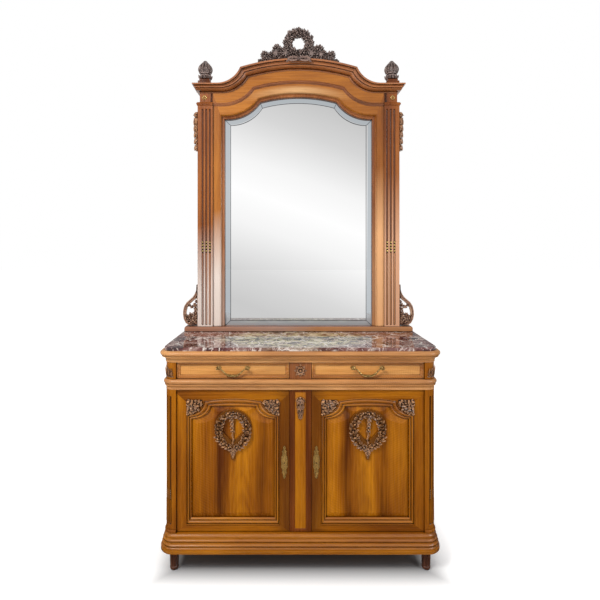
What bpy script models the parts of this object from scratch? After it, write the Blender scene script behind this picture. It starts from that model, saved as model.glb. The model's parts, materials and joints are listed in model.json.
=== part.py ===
"""Walnut sideboard with two doors, two drawers, a marble top and a tall bevelled mirror.

Metres, +Z up. The origin is the bottom centre of the object's box and the front faces -Y.
Names with left or right are seen from the front: left is -X.
"""

from math import cos, pi, radians, sin, sqrt, acos

import bmesh
import bpy
from mathutils import Vector

# Clearances
SEAT_GAP = 0.0003
RUN_GAP = 0.0015

# Case, seen from outside the rounded corner posts
CASE_WIDTH = 1.216
CASE_DEPTH = 0.478
CORNER_RADIUS = 0.040
PLINTH_REACH = 0.024
MID_REACH = 0.012
TOP_REACH = 0.028
FACE_SETBACK = 0.010
SIDE_SETBACK = 0.008

# Heights, from the floor up
FOOT_HEIGHT = 0.101
PLINTH_HEIGHT = 0.081
DOOR_BAY_HEIGHT = 0.640
MID_HEIGHT = 0.046
FRIEZE_HEIGHT = 0.077
TOP_HEIGHT = 0.0517
MARBLE_THICKNESS = 0.018
MARBLE_PROUD = 0.0149
MARBLE_SETBACK = 0.020
MARBLE_EASING = 0.0015

# Boards of the case
PLINTH_STOCK = 0.046
TOP_STOCK = 0.054
SIDE_THICKNESS = 0.022
BACK_THICKNESS = 0.012
BOTTOM_THICKNESS = 0.018
SHELF_THICKNESS = 0.018
SHELF_HEIGHT = 0.500
SHELF_SETBACK = 0.075
DRAWER_BOARD_THICKNESS = 0.020
DRAWER_RAIL_DEPTH = 0.037
SUB_TOP_THICKNESS = 0.018
SIDE_PANEL_MARGIN = 0.060
SIDE_PANEL_SINK = 0.006

# Feet
FOOT_INSET = 0.060
FOOT_TOP_RADIUS = 0.0215
FOOT_TOE_RADIUS = 0.0135
FOOT_FLUTE_DEPTH = 0.0022
FOOT_TENON_PLAY = 0.0022

# Corner posts
POST_WIDTH = 0.0515
POST_DEPTH = 0.055
POST_FLUTES = 3
POST_FLUTE_TURN = radians(20)
POST_FLUTE_HALF_TURN = radians(6.5)
POST_FLUTE_DEPTH = 0.004
POST_FLUTE_START = 0.040
POST_FLUTE_STOP = 0.032
POST_BASE_REACH = 0.006

# Fixed stile and frieze block between the doors and the drawers
STILE_WIDTH = 0.098
STILE_THICKNESS = 0.024
STILE_PROUD = 0.002
STILE_PANEL_MARGIN_SIDE = 0.023
STILE_PANEL_MARGIN_END = 0.012
STILE_PANEL_SINK = 0.003
HUSK_WIDTH = 0.034
HUSK_HEIGHT = 0.099
HUSK_TOP_DROP = 0.041
HUSK_PROUD = 0.004
BLOCK_PROUD = 0.004
BLOCK_MARGIN = 0.008
BLOCK_SINK = 0.003
DIVIDER_THICKNESS = 0.020
ROSETTE_RADIUS = 0.022
ROSETTE_PROUD = 0.005

# Doors
DOOR_THICKNESS = 0.024
DOOR_EDGE_CUT = 0.004
DOOR_STILE_OUTER = 0.043
DOOR_BOTTOM_RAIL = 0.030
DOOR_CROWN_DROP = 0.037
DOOR_SHOULDER_DROP = 0.0505
DOOR_SHOULDER_WIDTH = 0.077
DOOR_SHOULDER_HEIGHT = 0.061
MOULDING_SIDE = 0.022
MOULDING_END = 0.028
MOULDING_CROWN = 0.040
MOULDING_PROUD = 0.0045
MOULDING_SINK = 0.010
MOULDING_CORNER_GROW = 0.008
REBATE = 0.008
PANEL_THICKNESS = 0.010
FIELD_MARGIN = 0.022
FIELD_PROUD = 0.007
SPANDREL_MARGIN = 0.008
SPANDREL_PROUD = 0.004
WREATH_WIDTH = 0.166
WREATH_HEIGHT = 0.184
WREATH_BAND = 0.032
WREATH_TOP_DROP = 0.088
WREATH_PROUD = 0.008
WREATH_TAIL = 0.043
WREATH_STEM_HALF = 0.008

# Door pivots, locks and escutcheons
PIVOT_INSET = 0.006
PIVOT_DEPTH = 0.005
PIVOT_RADIUS = 0.0028
PIVOT_COLLAR_RADIUS = 0.0045
PIVOT_LENGTH = 0.012
LOCK_HEIGHT = 0.491
LOCK_CASE_HEIGHT = 0.060
LOCK_CASE_WIDTH = 0.040
LOCK_CASE_THICKNESS = 0.013
BOLT_HEIGHT = 0.008
BOLT_THICKNESS = 0.0045
BOLT_LENGTH = 0.034
BOLT_PLAY = 0.0005
ESCUTCHEON_WIDTH = 0.030
ESCUTCHEON_HEIGHT = 0.146
ESCUTCHEON_THICKNESS = 0.002
KEYHOLE_RADIUS = 0.0032
KEYHOLE_SLOT_HALF = 0.0014
KEYHOLE_SLOT_DROP = 0.011

# Drawers
DRAWER_THICKNESS = 0.020
DRAWER_BORDER = 0.016
DRAWER_LIP = 0.003
DRAWER_SINK = 0.006
BOX_BACK_GAP = 0.0354
BOX_HEIGHT = 0.063
BOX_WALL = 0.010
BOX_BOTTOM = 0.005
BOX_BOTTOM_RAISE = 0.006
HANDLE_SPACING = 0.124
HANDLE_RISE = 0.046
HANDLE_REACH = 0.019
BAIL_RADIUS = 0.0026
BAIL_BELLY_RADIUS = 0.0045
BAIL_DROP = 0.037
POST_HEAD_RADIUS = 0.0055
POST_STEM_RADIUS = 0.0035
POST_ROSE_RADIUS = 0.0075
EYE_PLAY = 0.0004

# Mirror unit
SILL_WIDTH = 1.220
SILL_HEIGHT = 0.026
SILL_DEPTH = 0.089
SILL_CORNER_CUT = 0.006
PILASTER_INNER = 0.4595
PILASTER_WIDTH = 0.0805
PILASTER_DEPTH = 0.079
PILASTER_FLUTES = 3
FLUTE_SPACING = 0.0195
FLUTE_HALF = 0.0055
FLUTE_DEPTH = 0.0045
FLUTE_OFFSET = 0.034
FLUTE_START = 0.010
FLUTE_STOP = 0.014
BAND_HEIGHT = 0.019
BAND_PROUD = 0.006
BLOCK_INSET = 0.010
FRAME_DEPTH = 0.040
FRAME_SETBACK = 0.010
GLASS_EDGE = 0.004
GLASS_CROWN = 0.0015
GLASS_SETBACK = 0.029
GLASS_LAP = 0.008
GLASS_PLAY = 0.001
BEVEL_WIDTH = 0.030
BEVEL_BOTTOM = 0.026
BACKBOARD_THICKNESS = 0.008

# Arched lines of the mirror unit, as half widths and rises from the sill's top
SIGHT_HALF = 0.398
SIGHT_SHOULDER = 0.013
SIGHT_CORNER = 1.115
SIGHT_KINK_HALF = 0.207
SIGHT_KINK_RISE = 0.0925
SIGHT_CROWN_RISE = 0.028
SIGHT_MOULDING = 0.0225
CORNICE_LOW_SHOULDER = 0.014
CORNICE_LOW_KINK = 0.063
CORNICE_TOP_SHOULDER = 0.034
CORNICE_TOP_KINK = 0.101
CORNICE_CROWN_GROW = 0.009
FLAT_BAND = 0.043
ASTRAGAL_PROUD = 0.0036
ASTRAGAL_SHOULDER_SHARE = 0.10
ASTRAGAL_KINK_SHARE = 0.46
FRIEZE_BAND = 0.0525
CORNICE_HEIGHT = 0.037
CORNICE_REACH = 0.052
CORNICE_SIDE_SHARE = 0.62
CORNICE_BACK_INSET = 0.010
CROWN_GAIN = 0.18

# Carved pieces of the mirror unit
FINIAL_INSET = 0.040
FINIAL_RADIUS = 0.0405
FINIAL_HEIGHT = 0.107
FINIAL_BLOCK = 0.069
FINIAL_BLOCK_HEIGHT = 0.030
FINIAL_SETBACK = 0.018
FINIAL_LOBE = 0.07
CREST_HALF = 0.216
CREST_THICKNESS = 0.030
CREST_HEIGHT = 0.176
CREST_WREATH_HALF = 0.092
CREST_HOLE_RADIUS = 0.0345
CREST_HOLE_RISE = 0.091
CREST_SETBACK = 0.020
CREST_EDGE = 0.006
BRACKET_WIDTH = 0.077
BRACKET_HEIGHT = 0.196
BRACKET_SCROLL_HEIGHT = 0.136
BRACKET_THICKNESS = 0.036
BRACKET_SETBACK = 0.012
BRACKET_TIP_WIDTH = 0.038
BRACKET_TIP_HEIGHT = 0.052
DROP_RADIUS = 0.019
DROP_HEIGHT = 0.223
DROP_TOP_DROP = 0.029
DROP_LOOPS = 5
DROP_STAND = 0.45
DROP_SETBACK = 0.002

# Smoothness
CORNER_STEPS = 6
SHOULDER_STEPS = 5
ARCH_STEPS = 8
CREST_STEPS = 44
OGEE_STEPS = 6
TURN_STEPS = 16

# Levels and planes that follow from the sizes above
PLINTH_TOP = FOOT_HEIGHT + PLINTH_HEIGHT
MID_BOTTOM = PLINTH_TOP + DOOR_BAY_HEIGHT
MID_TOP = MID_BOTTOM + MID_HEIGHT
TOP_BOTTOM = MID_TOP + FRIEZE_HEIGHT
TOP_TOP = TOP_BOTTOM + TOP_HEIGHT
MARBLE_TOP = TOP_TOP + MARBLE_PROUD
MARBLE_BOTTOM = MARBLE_TOP - MARBLE_THICKNESS
CASE_HALF = CASE_WIDTH / 2
BACK_Y = (CASE_DEPTH + TOP_REACH) / 2
CASE_FRONT = BACK_Y - CASE_DEPTH
FACE_Y = CASE_FRONT + FACE_SETBACK
SIDE_OUT = CASE_HALF - SIDE_SETBACK
SIDE_IN = SIDE_OUT - SIDE_THICKNESS
POST_IN = CASE_HALF - POST_WIDTH
POST_BACK = CASE_FRONT + POST_DEPTH
BOARD_BACK = BACK_Y - BACK_THICKNESS - SEAT_GAP
DOOR_IN = STILE_WIDTH / 2 + RUN_GAP
DOOR_OUT = POST_IN - RUN_GAP
DOOR_CENTRE = (DOOR_IN + DOOR_OUT) / 2
DOOR_HALF = (DOOR_OUT - DOOR_IN) / 2
DOOR_BOTTOM = PLINTH_TOP + RUN_GAP
DOOR_TOP = MID_BOTTOM - RUN_GAP
DOOR_BACK_Y = FACE_Y + DOOR_THICKNESS
LOCK_X = DOOR_IN + DOOR_STILE_OUTER / 2
DRAWER_FIELD_Y = FACE_Y + DRAWER_SINK
DRAWER_BACK_Y = FACE_Y + DRAWER_THICKNESS
DRAWER_BOTTOM = MID_TOP + RUN_GAP
DRAWER_TOP = TOP_BOTTOM - RUN_GAP
HANDLE_Y = DRAWER_FIELD_Y - HANDLE_REACH
HANDLE_Z = DRAWER_BOTTOM + HANDLE_RISE
PIVOT_Y = FACE_Y + PIVOT_DEPTH
MIRROR_BOTTOM = MARBLE_TOP + SEAT_GAP
SILL_TOP = MIRROR_BOTTOM + SILL_HEIGHT
PILASTER_OUT = PILASTER_INNER + PILASTER_WIDTH
PILASTER_FRONT = BACK_Y - PILASTER_DEPTH - FRAME_SETBACK
SILL_FRONT = BACK_Y - SILL_DEPTH - FRAME_SETBACK
FRAME_FRONT = PILASTER_FRONT + FRAME_SETBACK
FRAME_BACK = FRAME_FRONT + FRAME_DEPTH
GLASS_FRONT = FRAME_FRONT + GLASS_SETBACK
CORNICE_LIFT = SIGHT_MOULDING + FLAT_BAND + BAND_HEIGHT + FRIEZE_BAND
CORNICE_FRONT = PILASTER_FRONT + BLOCK_INSET - CORNICE_REACH

# Colours, roughness and metallic value of each finish
WALNUT = ((0.42, 0.20, 0.075), 0.35, 0.0)
WALNUT_DARK = ((0.26, 0.115, 0.045), 0.38, 0.0)
WALNUT_FIGURED = ((0.50, 0.25, 0.085), 0.30, 0.0)
CARVED = ((0.16, 0.095, 0.055), 0.42, 0.0)
PLAIN_BOARD = ((0.45, 0.29, 0.16), 0.60, 0.0)
BRASS = ((0.60, 0.47, 0.24), 0.35, 1.0)
IRON = ((0.20, 0.19, 0.18), 0.50, 1.0)
MARBLE = ((0.36, 0.20, 0.17), 0.12, 0.0)
GLASS = ((0.82, 0.83, 0.84), 0.03, 1.0)


def clear_scene():
    """Removes whatever the file holds, so that only the model is left."""
    for item in list(bpy.data.objects):
        bpy.data.objects.remove(item, do_unlink=True)


def finish(name, look):
    """Makes the material of one piece from its colour, roughness and metallic value."""
    colour, roughness, metallic = look
    material = bpy.data.materials.new(name + "_finish")
    material.use_nodes = True
    shader = material.node_tree.nodes["Principled BSDF"]
    shader.inputs["Base Color"].default_value = (*colour, 1.0)
    shader.inputs["Roughness"].default_value = roughness
    shader.inputs["Metallic"].default_value = metallic
    material.diffuse_color = (*colour, 1.0)
    return material


def standing_place(item):
    """Where an unturned item stands, added up through its carriers."""
    place = Vector(item.location)
    while item.parent is not None:
        item = item.parent
        place += item.location
    return place


def ride(item, carrier, place):
    """Hangs an item on its carrier and stands it at a place in the room."""
    item.parent = carrier
    item.location = Vector(place) - standing_place(carrier)


def pivot_empty(name, place, carrier=None):
    """Adds an empty that stands on a joint's axis and carries the moving pieces."""
    empty = bpy.data.objects.new(name, None)
    empty.location = place
    bpy.context.scene.collection.objects.link(empty)
    if carrier is not None:
        ride(empty, carrier, place)
    return empty


def piece(name, bm, look, carrier=None):
    """Turns a mesh into a named piece, under its carrier if it has one."""
    bmesh.ops.remove_doubles(bm, verts=bm.verts, dist=1e-6)
    bmesh.ops.recalc_face_normals(bm, faces=bm.faces)
    mesh = bpy.data.meshes.new(name)
    bm.to_mesh(mesh)
    bm.free()
    item = bpy.data.objects.new(name, mesh)
    item.data.materials.append(finish(name, look))
    bpy.context.scene.collection.objects.link(item)
    if carrier is not None:
        ride(item, carrier, (0, 0, 0))
    mesh.shade_smooth()
    mesh.set_sharp_from_angle(angle=radians(35))
    return item


def tool(name, bm):
    """Makes a hidden shape that another piece is cut with or joined to."""
    item = piece(name, bm, PLAIN_BOARD)
    item.hide_render = True
    item.display_type = "WIRE"
    return item


def combine(item, other, operation):
    """Cuts a piece with a hidden shape, or joins the shape to it."""
    modifier = item.modifiers.new(other.name, "BOOLEAN")
    modifier.operation = operation
    modifier.object = other


def loft(rings, closed=False):
    """Extrudes one face from ring to ring. A closed loft ends on its first ring."""
    bm = bmesh.new()
    start = [bm.verts.new(point) for point in rings[0]]
    face = bm.faces.new(start)
    stations = rings[1:] + (rings[:1] if closed else [])
    for ring in stations:
        face = bmesh.ops.extrude_discrete_faces(bm, faces=[face])["faces"][0]
        for vert, point in zip(face.verts, ring):
            vert.co = point
    if closed:
        bmesh.ops.delete(bm, geom=[face], context="FACES_ONLY")
    else:
        bm.faces.new(list(reversed(start)))
    return bm


def box(low, high):
    """Makes a plain board between two opposite corners."""
    bm = bmesh.new()
    bmesh.ops.create_cube(bm, size=1.0)
    low, high = Vector(low), Vector(high)
    bmesh.ops.scale(bm, vec=high - low, verts=bm.verts)
    bmesh.ops.translate(bm, vec=(low + high) / 2, verts=bm.verts)
    return bm


def upright(outline, bottom, top):
    """Extrudes a plan outline of (x, y) points upwards."""
    return loft([[(x, y, z) for x, y in outline] for z in (bottom, top)])


def plate(outlines, front, back):
    """Extrudes flat outlines of (x, z) points from front to back. The second is a hole."""
    bm = bmesh.new()
    for outline in outlines:
        verts = [bm.verts.new((x, front, z)) for x, z in outline]
        for here, after in zip(verts, verts[1:] + verts[:1]):
            bm.edges.new((here, after))
    bmesh.ops.triangle_fill(bm, edges=list(bm.edges), use_beauty=True)
    grown = bmesh.ops.extrude_face_region(bm, geom=list(bm.faces), use_keep_orig=True)
    moved = [part for part in grown["geom"] if isinstance(part, bmesh.types.BMVert)]
    bmesh.ops.translate(bm, vec=(0, back - front, 0), verts=moved)
    return bm


def turned(profile, centre, axis="Z", steps=TURN_STEPS):
    """Turns a profile of (radius, distance) points round an axis through the centre."""
    rings = []
    for radius, along in profile:
        ring = []
        for i in range(steps):
            turn = 2 * pi * i / steps
            across, other = radius * cos(turn), radius * sin(turn)
            offset = {"X": (along, across, other), "Y": (across, along, other)}.get(
                axis, (across, other, along)
            )
            ring.append(Vector(centre) + Vector(offset))
        rings.append(ring)
    return loft(rings)


def arc(centre, radius, start, stop, steps):
    """Points of an elliptic arc, with radius as a pair of half axes."""
    points = []
    for i in range(steps + 1):
        turn = start + (stop - start) * i / steps
        points.append((centre[0] + radius[0] * cos(turn), centre[1] + radius[1] * sin(turn)))
    return points


def blend_points(first, second, share):
    """Points part of the way from one line to another."""
    return [
        tuple(a + (b - a) * share for a, b in zip(here, there))
        for here, there in zip(first, second)
    ]


def plan_line(reach):
    """Plan of the case's front and sides, this far outside the corner posts."""
    radius = CORNER_RADIUS + reach
    half, front = CASE_HALF + reach, CASE_FRONT - reach
    square = (radius, radius)
    left = arc((radius - half, front + radius), square, pi, 1.5 * pi, CORNER_STEPS)
    right = arc((half - radius, front + radius), square, 1.5 * pi, 2 * pi, CORNER_STEPS)
    return [(-half, BACK_Y)] + left + right + [(half, BACK_Y)]


def belt(name, section, look=WALNUT):
    """Runs a section of (reach, height) points round the front and both sides."""
    lines = [[(x, y, z) for x, y in plan_line(reach)] for reach, z in section]
    piece(name, loft([list(ring) for ring in zip(*lines)]), look)


def board_plan(front):
    """Plan of a board that passes between the posts and then fills the case."""
    narrow, wide = POST_IN - SEAT_GAP, SIDE_IN - SEAT_GAP
    step = POST_BACK + SEAT_GAP
    half = [(narrow, front), (narrow, step), (wide, step), (wide, BOARD_BACK)]
    if front > step:
        half = [(wide, front), (wide, BOARD_BACK)]
    return half + [(-x, y) for x, y in reversed(half)]


def build_feet():
    """Four turned and fluted feet, each with the tenon on its top."""
    tenon = FOOT_INSET - PLINTH_STOCK - FOOT_TENON_PLAY
    around = (0, 2 * pi * (1 - 1 / TURN_STEPS), TURN_STEPS - 1)
    toe, top = FOOT_TOE_RADIUS, FOOT_TOP_RADIUS
    levels = [
        (0.0, toe, 0),
        (0.10, toe * 1.09, 0),
        (0.14, toe * 1.30, 0),
        (0.24, toe * 1.30, 0),
        (0.28, toe * 1.09, 0),
        (0.34, toe * 1.15, 1),
        (0.78, top * 0.81, 1),
        (0.82, top * 0.81, 0),
        (0.86, top, 0),
        (1.0, top, 0),
    ]
    under = FOOT_HEIGHT - SEAT_GAP
    for side, word in ((-1, "left"), (1, "right")):
        x = side * (CASE_HALF + PLINTH_REACH - FOOT_INSET)
        for end, y in (
            ("front", CASE_FRONT - PLINTH_REACH + FOOT_INSET),
            ("rear", BACK_Y - FOOT_INSET),
        ):
            rings = []
            for share, radius, fluted in levels:
                ring = []
                for i in range(TURN_STEPS):
                    turn = 2 * pi * i / TURN_STEPS
                    here = radius - FOOT_FLUTE_DEPTH * fluted * (i % 2)
                    ring.append((x + here * cos(turn), y + here * sin(turn), under * share))
                rings.append(ring)
            for z in (under, PLINTH_TOP - SEAT_GAP):
                rings.append([(*point, z) for point in arc((x, y), (tenon, tenon), *around)])
            piece(f"foot_{end}_{word}", loft(rings), WALNUT_DARK)


def build_plinth():
    """Moulded plinth round the front and sides, and the plain rail behind."""
    inner = PLINTH_REACH - PLINTH_STOCK
    profile = [
        (0.96, 0),
        (1.0, 0.025),
        (1.0, 0.36),
        (0.875, 0.39),
        (0.875, 0.58),
        (0.71, 0.635),
        (0.79, 0.70),
        (0.75, 0.79),
        (0.50, 0.89),
        (0.125, 0.95),
        (0.125, 1.0),
    ]
    section = [(PLINTH_REACH * out, FOOT_HEIGHT + PLINTH_HEIGHT * up) for out, up in profile]
    belt("plinth", section + [(inner, PLINTH_TOP), (inner, FOOT_HEIGHT)])
    half = CASE_HALF + inner - SEAT_GAP
    low = (-half, BACK_Y - PLINTH_STOCK, FOOT_HEIGHT)
    piece("plinth_rear_rail", box(low, (half, BACK_Y, PLINTH_TOP)), PLAIN_BOARD)


def build_case():
    """Sides, back, bottom, shelf and the boards that carry the drawers and the marble."""
    bottom, top = PLINTH_TOP + SEAT_GAP, TOP_BOTTOM - SEAT_GAP
    for side, word in ((-1, "left"), (1, "right")):
        near, far = POST_BACK + SEAT_GAP, BACK_Y
        rings = []
        for x, margin, low, high in (
            (SIDE_IN, 0, bottom, top),
            (SIDE_OUT, 0, bottom, top),
            (SIDE_OUT, SIDE_PANEL_MARGIN, bottom, MID_BOTTOM),
            (SIDE_OUT - SIDE_PANEL_SINK, SIDE_PANEL_MARGIN + SIDE_PANEL_SINK, bottom, MID_BOTTOM),
        ):
            start, stop = near + margin, far - margin
            low, high = low + margin, high - margin
            ring = [(start, low), (stop, low), (stop, high), (start, high)]
            rings.append([(side * x, y, z) for y, z in ring])
        piece(f"case_side_{word}", loft(rings), WALNUT)
    half = SIDE_IN - SEAT_GAP
    under = MARBLE_BOTTOM - SEAT_GAP
    back_top = under - SUB_TOP_THICKNESS - SEAT_GAP
    back = box((-half, BACK_Y - BACK_THICKNESS, bottom), (half, BACK_Y, back_top))
    piece("case_back", back, PLAIN_BOARD)
    plan = board_plan(DOOR_BACK_Y + RUN_GAP)
    piece("bottom_board", upright(plan, bottom, bottom + BOTTOM_THICKNESS), PLAIN_BOARD)
    shelf_front = CASE_FRONT + SHELF_SETBACK
    shelf_top = SHELF_HEIGHT + SHELF_THICKNESS
    piece("shelf", upright(board_plan(shelf_front), SHELF_HEIGHT, shelf_top), PLAIN_BOARD)
    rail_front = CASE_FRONT + SIDE_SETBACK
    board_bottom = MID_TOP - DRAWER_BOARD_THICKNESS
    half = POST_IN - SEAT_GAP
    low = (-half, rail_front, MID_BOTTOM)
    high = (half, rail_front + DRAWER_RAIL_DEPTH, board_bottom - SEAT_GAP)
    piece("drawer_rail", box(low, high), WALNUT_DARK)
    plan = board_plan(rail_front)
    piece("drawer_board", upright(plan, board_bottom, MID_TOP), PLAIN_BOARD)
    plan = plan_line(TOP_REACH - TOP_STOCK - SEAT_GAP)
    piece("sub_top", upright(plan, under - SUB_TOP_THICKNESS, under), PLAIN_BOARD)


def build_mouldings():
    """The rounded moulding under the drawers and the moulded frame round the marble."""
    inner = SEAT_GAP - SIDE_SETBACK
    profile = [
        (0.08, 0),
        (0.08, 0.13),
        (0.25, 0.28),
        (0.58, 0.41),
        (0.58, 0.52),
        (0.83, 0.59),
        (1.0, 0.72),
        (1.0, 0.80),
        (0.83, 0.925),
        (0.50, 1.0),
    ]
    section = [(MID_REACH * out, MID_BOTTOM + MID_HEIGHT * up) for out, up in profile]
    belt("mid_moulding", section + [(inner, MID_TOP), (inner, MID_BOTTOM)])

    profile = [
        (0.11, 0),
        (0.14, 0.07),
        (0.21, 0.20),
        (0.36, 0.37),
        (0.57, 0.50),
        (0.71, 0.545),
        (0.71, 0.61),
        (0.91, 0.655),
        (1.0, 0.745),
        (1.0, 0.865),
        (0.91, 0.955),
        (0.75, 1.0),
    ]
    section = [(TOP_REACH * out, TOP_BOTTOM + TOP_HEIGHT * up) for out, up in profile]
    rebate = TOP_REACH - MARBLE_SETBACK + SEAT_GAP
    inner = TOP_REACH - TOP_STOCK
    under = MARBLE_BOTTOM - SEAT_GAP
    section += [(rebate, TOP_TOP), (rebate, under), (inner, under), (inner, TOP_BOTTOM)]
    belt("top_frame", section)


def build_marble():
    """The marble slab, let into the frame, with its upper edge eased."""
    reach = TOP_REACH - MARBLE_SETBACK
    rings = []
    for inset, z in (
        (0, MARBLE_BOTTOM),
        (0, MARBLE_TOP - MARBLE_EASING),
        (MARBLE_EASING, MARBLE_TOP),
    ):
        rings.append([(x, y, z) for x, y in plan_line(reach - inset)])
    piece("marble_top", loft(rings), MARBLE)


def post_ring(side, z, reach, fluted):
    """One level of a corner post: flat inside, rounded and fluted at the outer corner."""
    radius = CORNER_RADIUS + reach
    centre = (CASE_HALF - CORNER_RADIUS, CASE_FRONT + CORNER_RADIUS)
    turns = [(-pi / 2, 0)]
    for i in range(POST_FLUTES):
        middle = -pi / 4 + (i - (POST_FLUTES - 1) / 2) * POST_FLUTE_TURN
        for step in (-1, 0, 1):
            sunk = POST_FLUTE_DEPTH * fluted if step == 0 else 0
            turns.append((middle + step * POST_FLUTE_HALF_TURN, sunk))
    turns.append((0, 0))
    points = [(POST_IN, POST_BACK), (POST_IN, centre[1] - radius)]
    for turn, sunk in turns:
        here = radius - sunk
        points.append((centre[0] + here * cos(turn), centre[1] + here * sin(turn)))
    points.append((CASE_HALF + reach, POST_BACK))
    return [(side * x, y, z) for x, y in points]


def build_posts():
    """The rounded corner posts, waisted where the mid moulding wraps them."""
    foot = PLINTH_TOP + SEAT_GAP
    levels = [
        (foot, POST_BASE_REACH - 0.003, 0),
        (foot + 0.006, POST_BASE_REACH - 0.001, 0),
        (foot + 0.013, POST_BASE_REACH - 0.003, 0),
        (foot + 0.017, 0, 0),
        (foot + POST_FLUTE_START - 0.008, 0, 0),
        (foot + POST_FLUTE_START, 0, 1),
        (MID_BOTTOM - POST_FLUTE_STOP - 0.008, 0, 1),
        (MID_BOTTOM - POST_FLUTE_STOP, 0, 0),
        (MID_BOTTOM - SEAT_GAP, 0, 0),
        (MID_BOTTOM - SEAT_GAP, -SIDE_SETBACK, 0),
        (MID_TOP + SEAT_GAP, -SIDE_SETBACK, 0),
        (MID_TOP + SEAT_GAP, 0, 0),
        (TOP_BOTTOM - SEAT_GAP, 0, 0),
    ]
    for side, word in ((-1, "left"), (1, "right")):
        rings = [post_ring(side, z, reach, fluted) for z, reach, fluted in levels]
        piece(f"corner_post_{word}", loft(rings), WALNUT)


def husk_outline(top, width, height):
    """A bell of husks: three leaves, each wider than the next, hung point down."""
    half = []
    for share, wide in ((0, 0.45), (0.12, 0.95), (0.30, 1.0), (0.42, 0.45), (0.52, 0.75)):
        half.append((width / 2 * wide, top - height * share))
    for share, wide in ((0.66, 0.6), (0.74, 0.3), (0.84, 0.4), (1.0, 0.08)):
        half.append((width / 2 * wide, top - height * share))
    return half + [(-x, z) for x, z in reversed(half)]


def build_stile():
    """The fixed stile between the doors, with a sunk panel and a carved drop of husks."""
    half = STILE_WIDTH / 2
    front = FACE_Y - STILE_PROUD
    low = (-half, front, PLINTH_TOP + SEAT_GAP)
    high = (half, front + STILE_THICKNESS, MID_BOTTOM - SEAT_GAP)
    side, end = STILE_PANEL_MARGIN_SIDE, STILE_PANEL_MARGIN_END
    sunk = front + STILE_PANEL_SINK
    rings = []
    for margin_x, margin_z, y in (
        (0, 0, high[1]),
        (0, 0, front),
        (side, end, front),
        (side + STILE_PANEL_SINK, end + STILE_PANEL_SINK, sunk),
    ):
        x, bottom, top = half - margin_x, low[2] + margin_z, high[2] - margin_z
        rings.append([(-x, y, bottom), (x, y, bottom), (x, y, top), (-x, y, top)])
    item = piece("centre_stile", loft(rings), WALNUT_FIGURED)
    top = MID_BOTTOM - HUSK_TOP_DROP
    outline = husk_outline(top, HUSK_WIDTH, HUSK_HEIGHT)
    husk = plate([outline], sunk - HUSK_PROUD, sunk + HUSK_PROUD)
    combine(item, tool("husk_shape", husk), "UNION")


def build_frieze_block():
    """The block between the drawers, with its rosette and the divider behind it."""
    half, web = STILE_WIDTH / 2, DIVIDER_THICKNESS / 2
    front = FACE_Y - BLOCK_PROUD
    back = FACE_Y + DRAWER_THICKNESS
    plan = [(-half, front), (half, front), (half, back), (web, back), (web, BOARD_BACK)]
    plan += [(-web, BOARD_BACK), (-web, back), (-half, back)]
    bm = upright(plan, MID_TOP + SEAT_GAP, TOP_BOTTOM - SEAT_GAP)
    face = min(bm.faces, key=lambda part: part.calc_center_median().y)
    bmesh.ops.inset_individual(bm, faces=[face], thickness=BLOCK_MARGIN, depth=-BLOCK_SINK)
    item = piece("frieze_block", bm, WALNUT_DARK)
    sunk = front + BLOCK_SINK
    profile = [
        (ROSETTE_RADIUS, 0.003),
        (ROSETTE_RADIUS, -ROSETTE_PROUD / 2),
        (ROSETTE_RADIUS * 0.8, -ROSETTE_PROUD),
        (ROSETTE_RADIUS * 0.45, -ROSETTE_PROUD * 0.7),
        (ROSETTE_RADIUS * 0.2, -ROSETTE_PROUD * 0.4),
    ]
    rosette = turned(profile, (0, sunk, (MID_TOP + TOP_BOTTOM) / 2), "Y")
    combine(item, tool("rosette_shape", rosette), "UNION")


def arched(centre, half, bottom, shoulder, crown, width, height):
    """Outline with an arched top whose corners are cut by quarter rounds."""
    right = arc((half, shoulder), (-width, -height), pi / 2, 0, SHOULDER_STEPS)
    span = half - width
    rise = crown - shoulder
    radius = (span * span + rise * rise) / (2 * rise)
    spread = acos((radius - rise) / radius)
    top = arc(
        (0, crown - radius), (radius, radius), pi / 2 - spread, pi / 2 + spread, ARCH_STEPS
    )
    left = [(-x, z) for x, z in reversed(right)]
    outline = [(-half, bottom), (half, bottom)] + right + top[1:-1] + left
    return [(centre + x, z) for x, z in outline]


def outer_rectangle():
    """Points on the door's edge, one for each point of an arched outline."""
    corner = SHOULDER_STEPS // 2
    shoulder = DOOR_TOP - DOOR_SHOULDER_DROP
    low = shoulder - DOOR_SHOULDER_HEIGHT
    span = DOOR_HALF - DOOR_STILE_OUTER - DOOR_SHOULDER_WIDTH
    right = []
    for i in range(SHOULDER_STEPS + 1):
        if i <= corner:
            right.append((DOOR_HALF, low + (DOOR_TOP - low) * i / corner))
        else:
            share = (i - corner) / (SHOULDER_STEPS - corner)
            right.append((DOOR_HALF + (span - DOOR_HALF) * share, DOOR_TOP))
    top = [(span - 2 * span * i / ARCH_STEPS, DOOR_TOP) for i in range(1, ARCH_STEPS)]
    left = [(-x, z) for x, z in reversed(right)]
    outline = [(-DOOR_HALF, DOOR_BOTTOM), (DOOR_HALF, DOOR_BOTTOM)] + right + top + left
    return [(DOOR_CENTRE + x, z) for x, z in outline]


def door_line(side_in, bottom_in, shoulder_in, crown_in, corner_grow):
    """An arched line inside the moulding's outer edge, by its distances from that edge."""
    return arched(
        DOOR_CENTRE,
        DOOR_HALF - DOOR_STILE_OUTER - side_in,
        DOOR_BOTTOM + DOOR_BOTTOM_RAIL + bottom_in,
        DOOR_TOP - DOOR_SHOULDER_DROP - shoulder_in,
        DOOR_TOP - DOOR_CROWN_DROP - crown_in,
        DOOR_SHOULDER_WIDTH + corner_grow,
        DOOR_SHOULDER_HEIGHT + corner_grow - shoulder_in / 2,
    )


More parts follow.
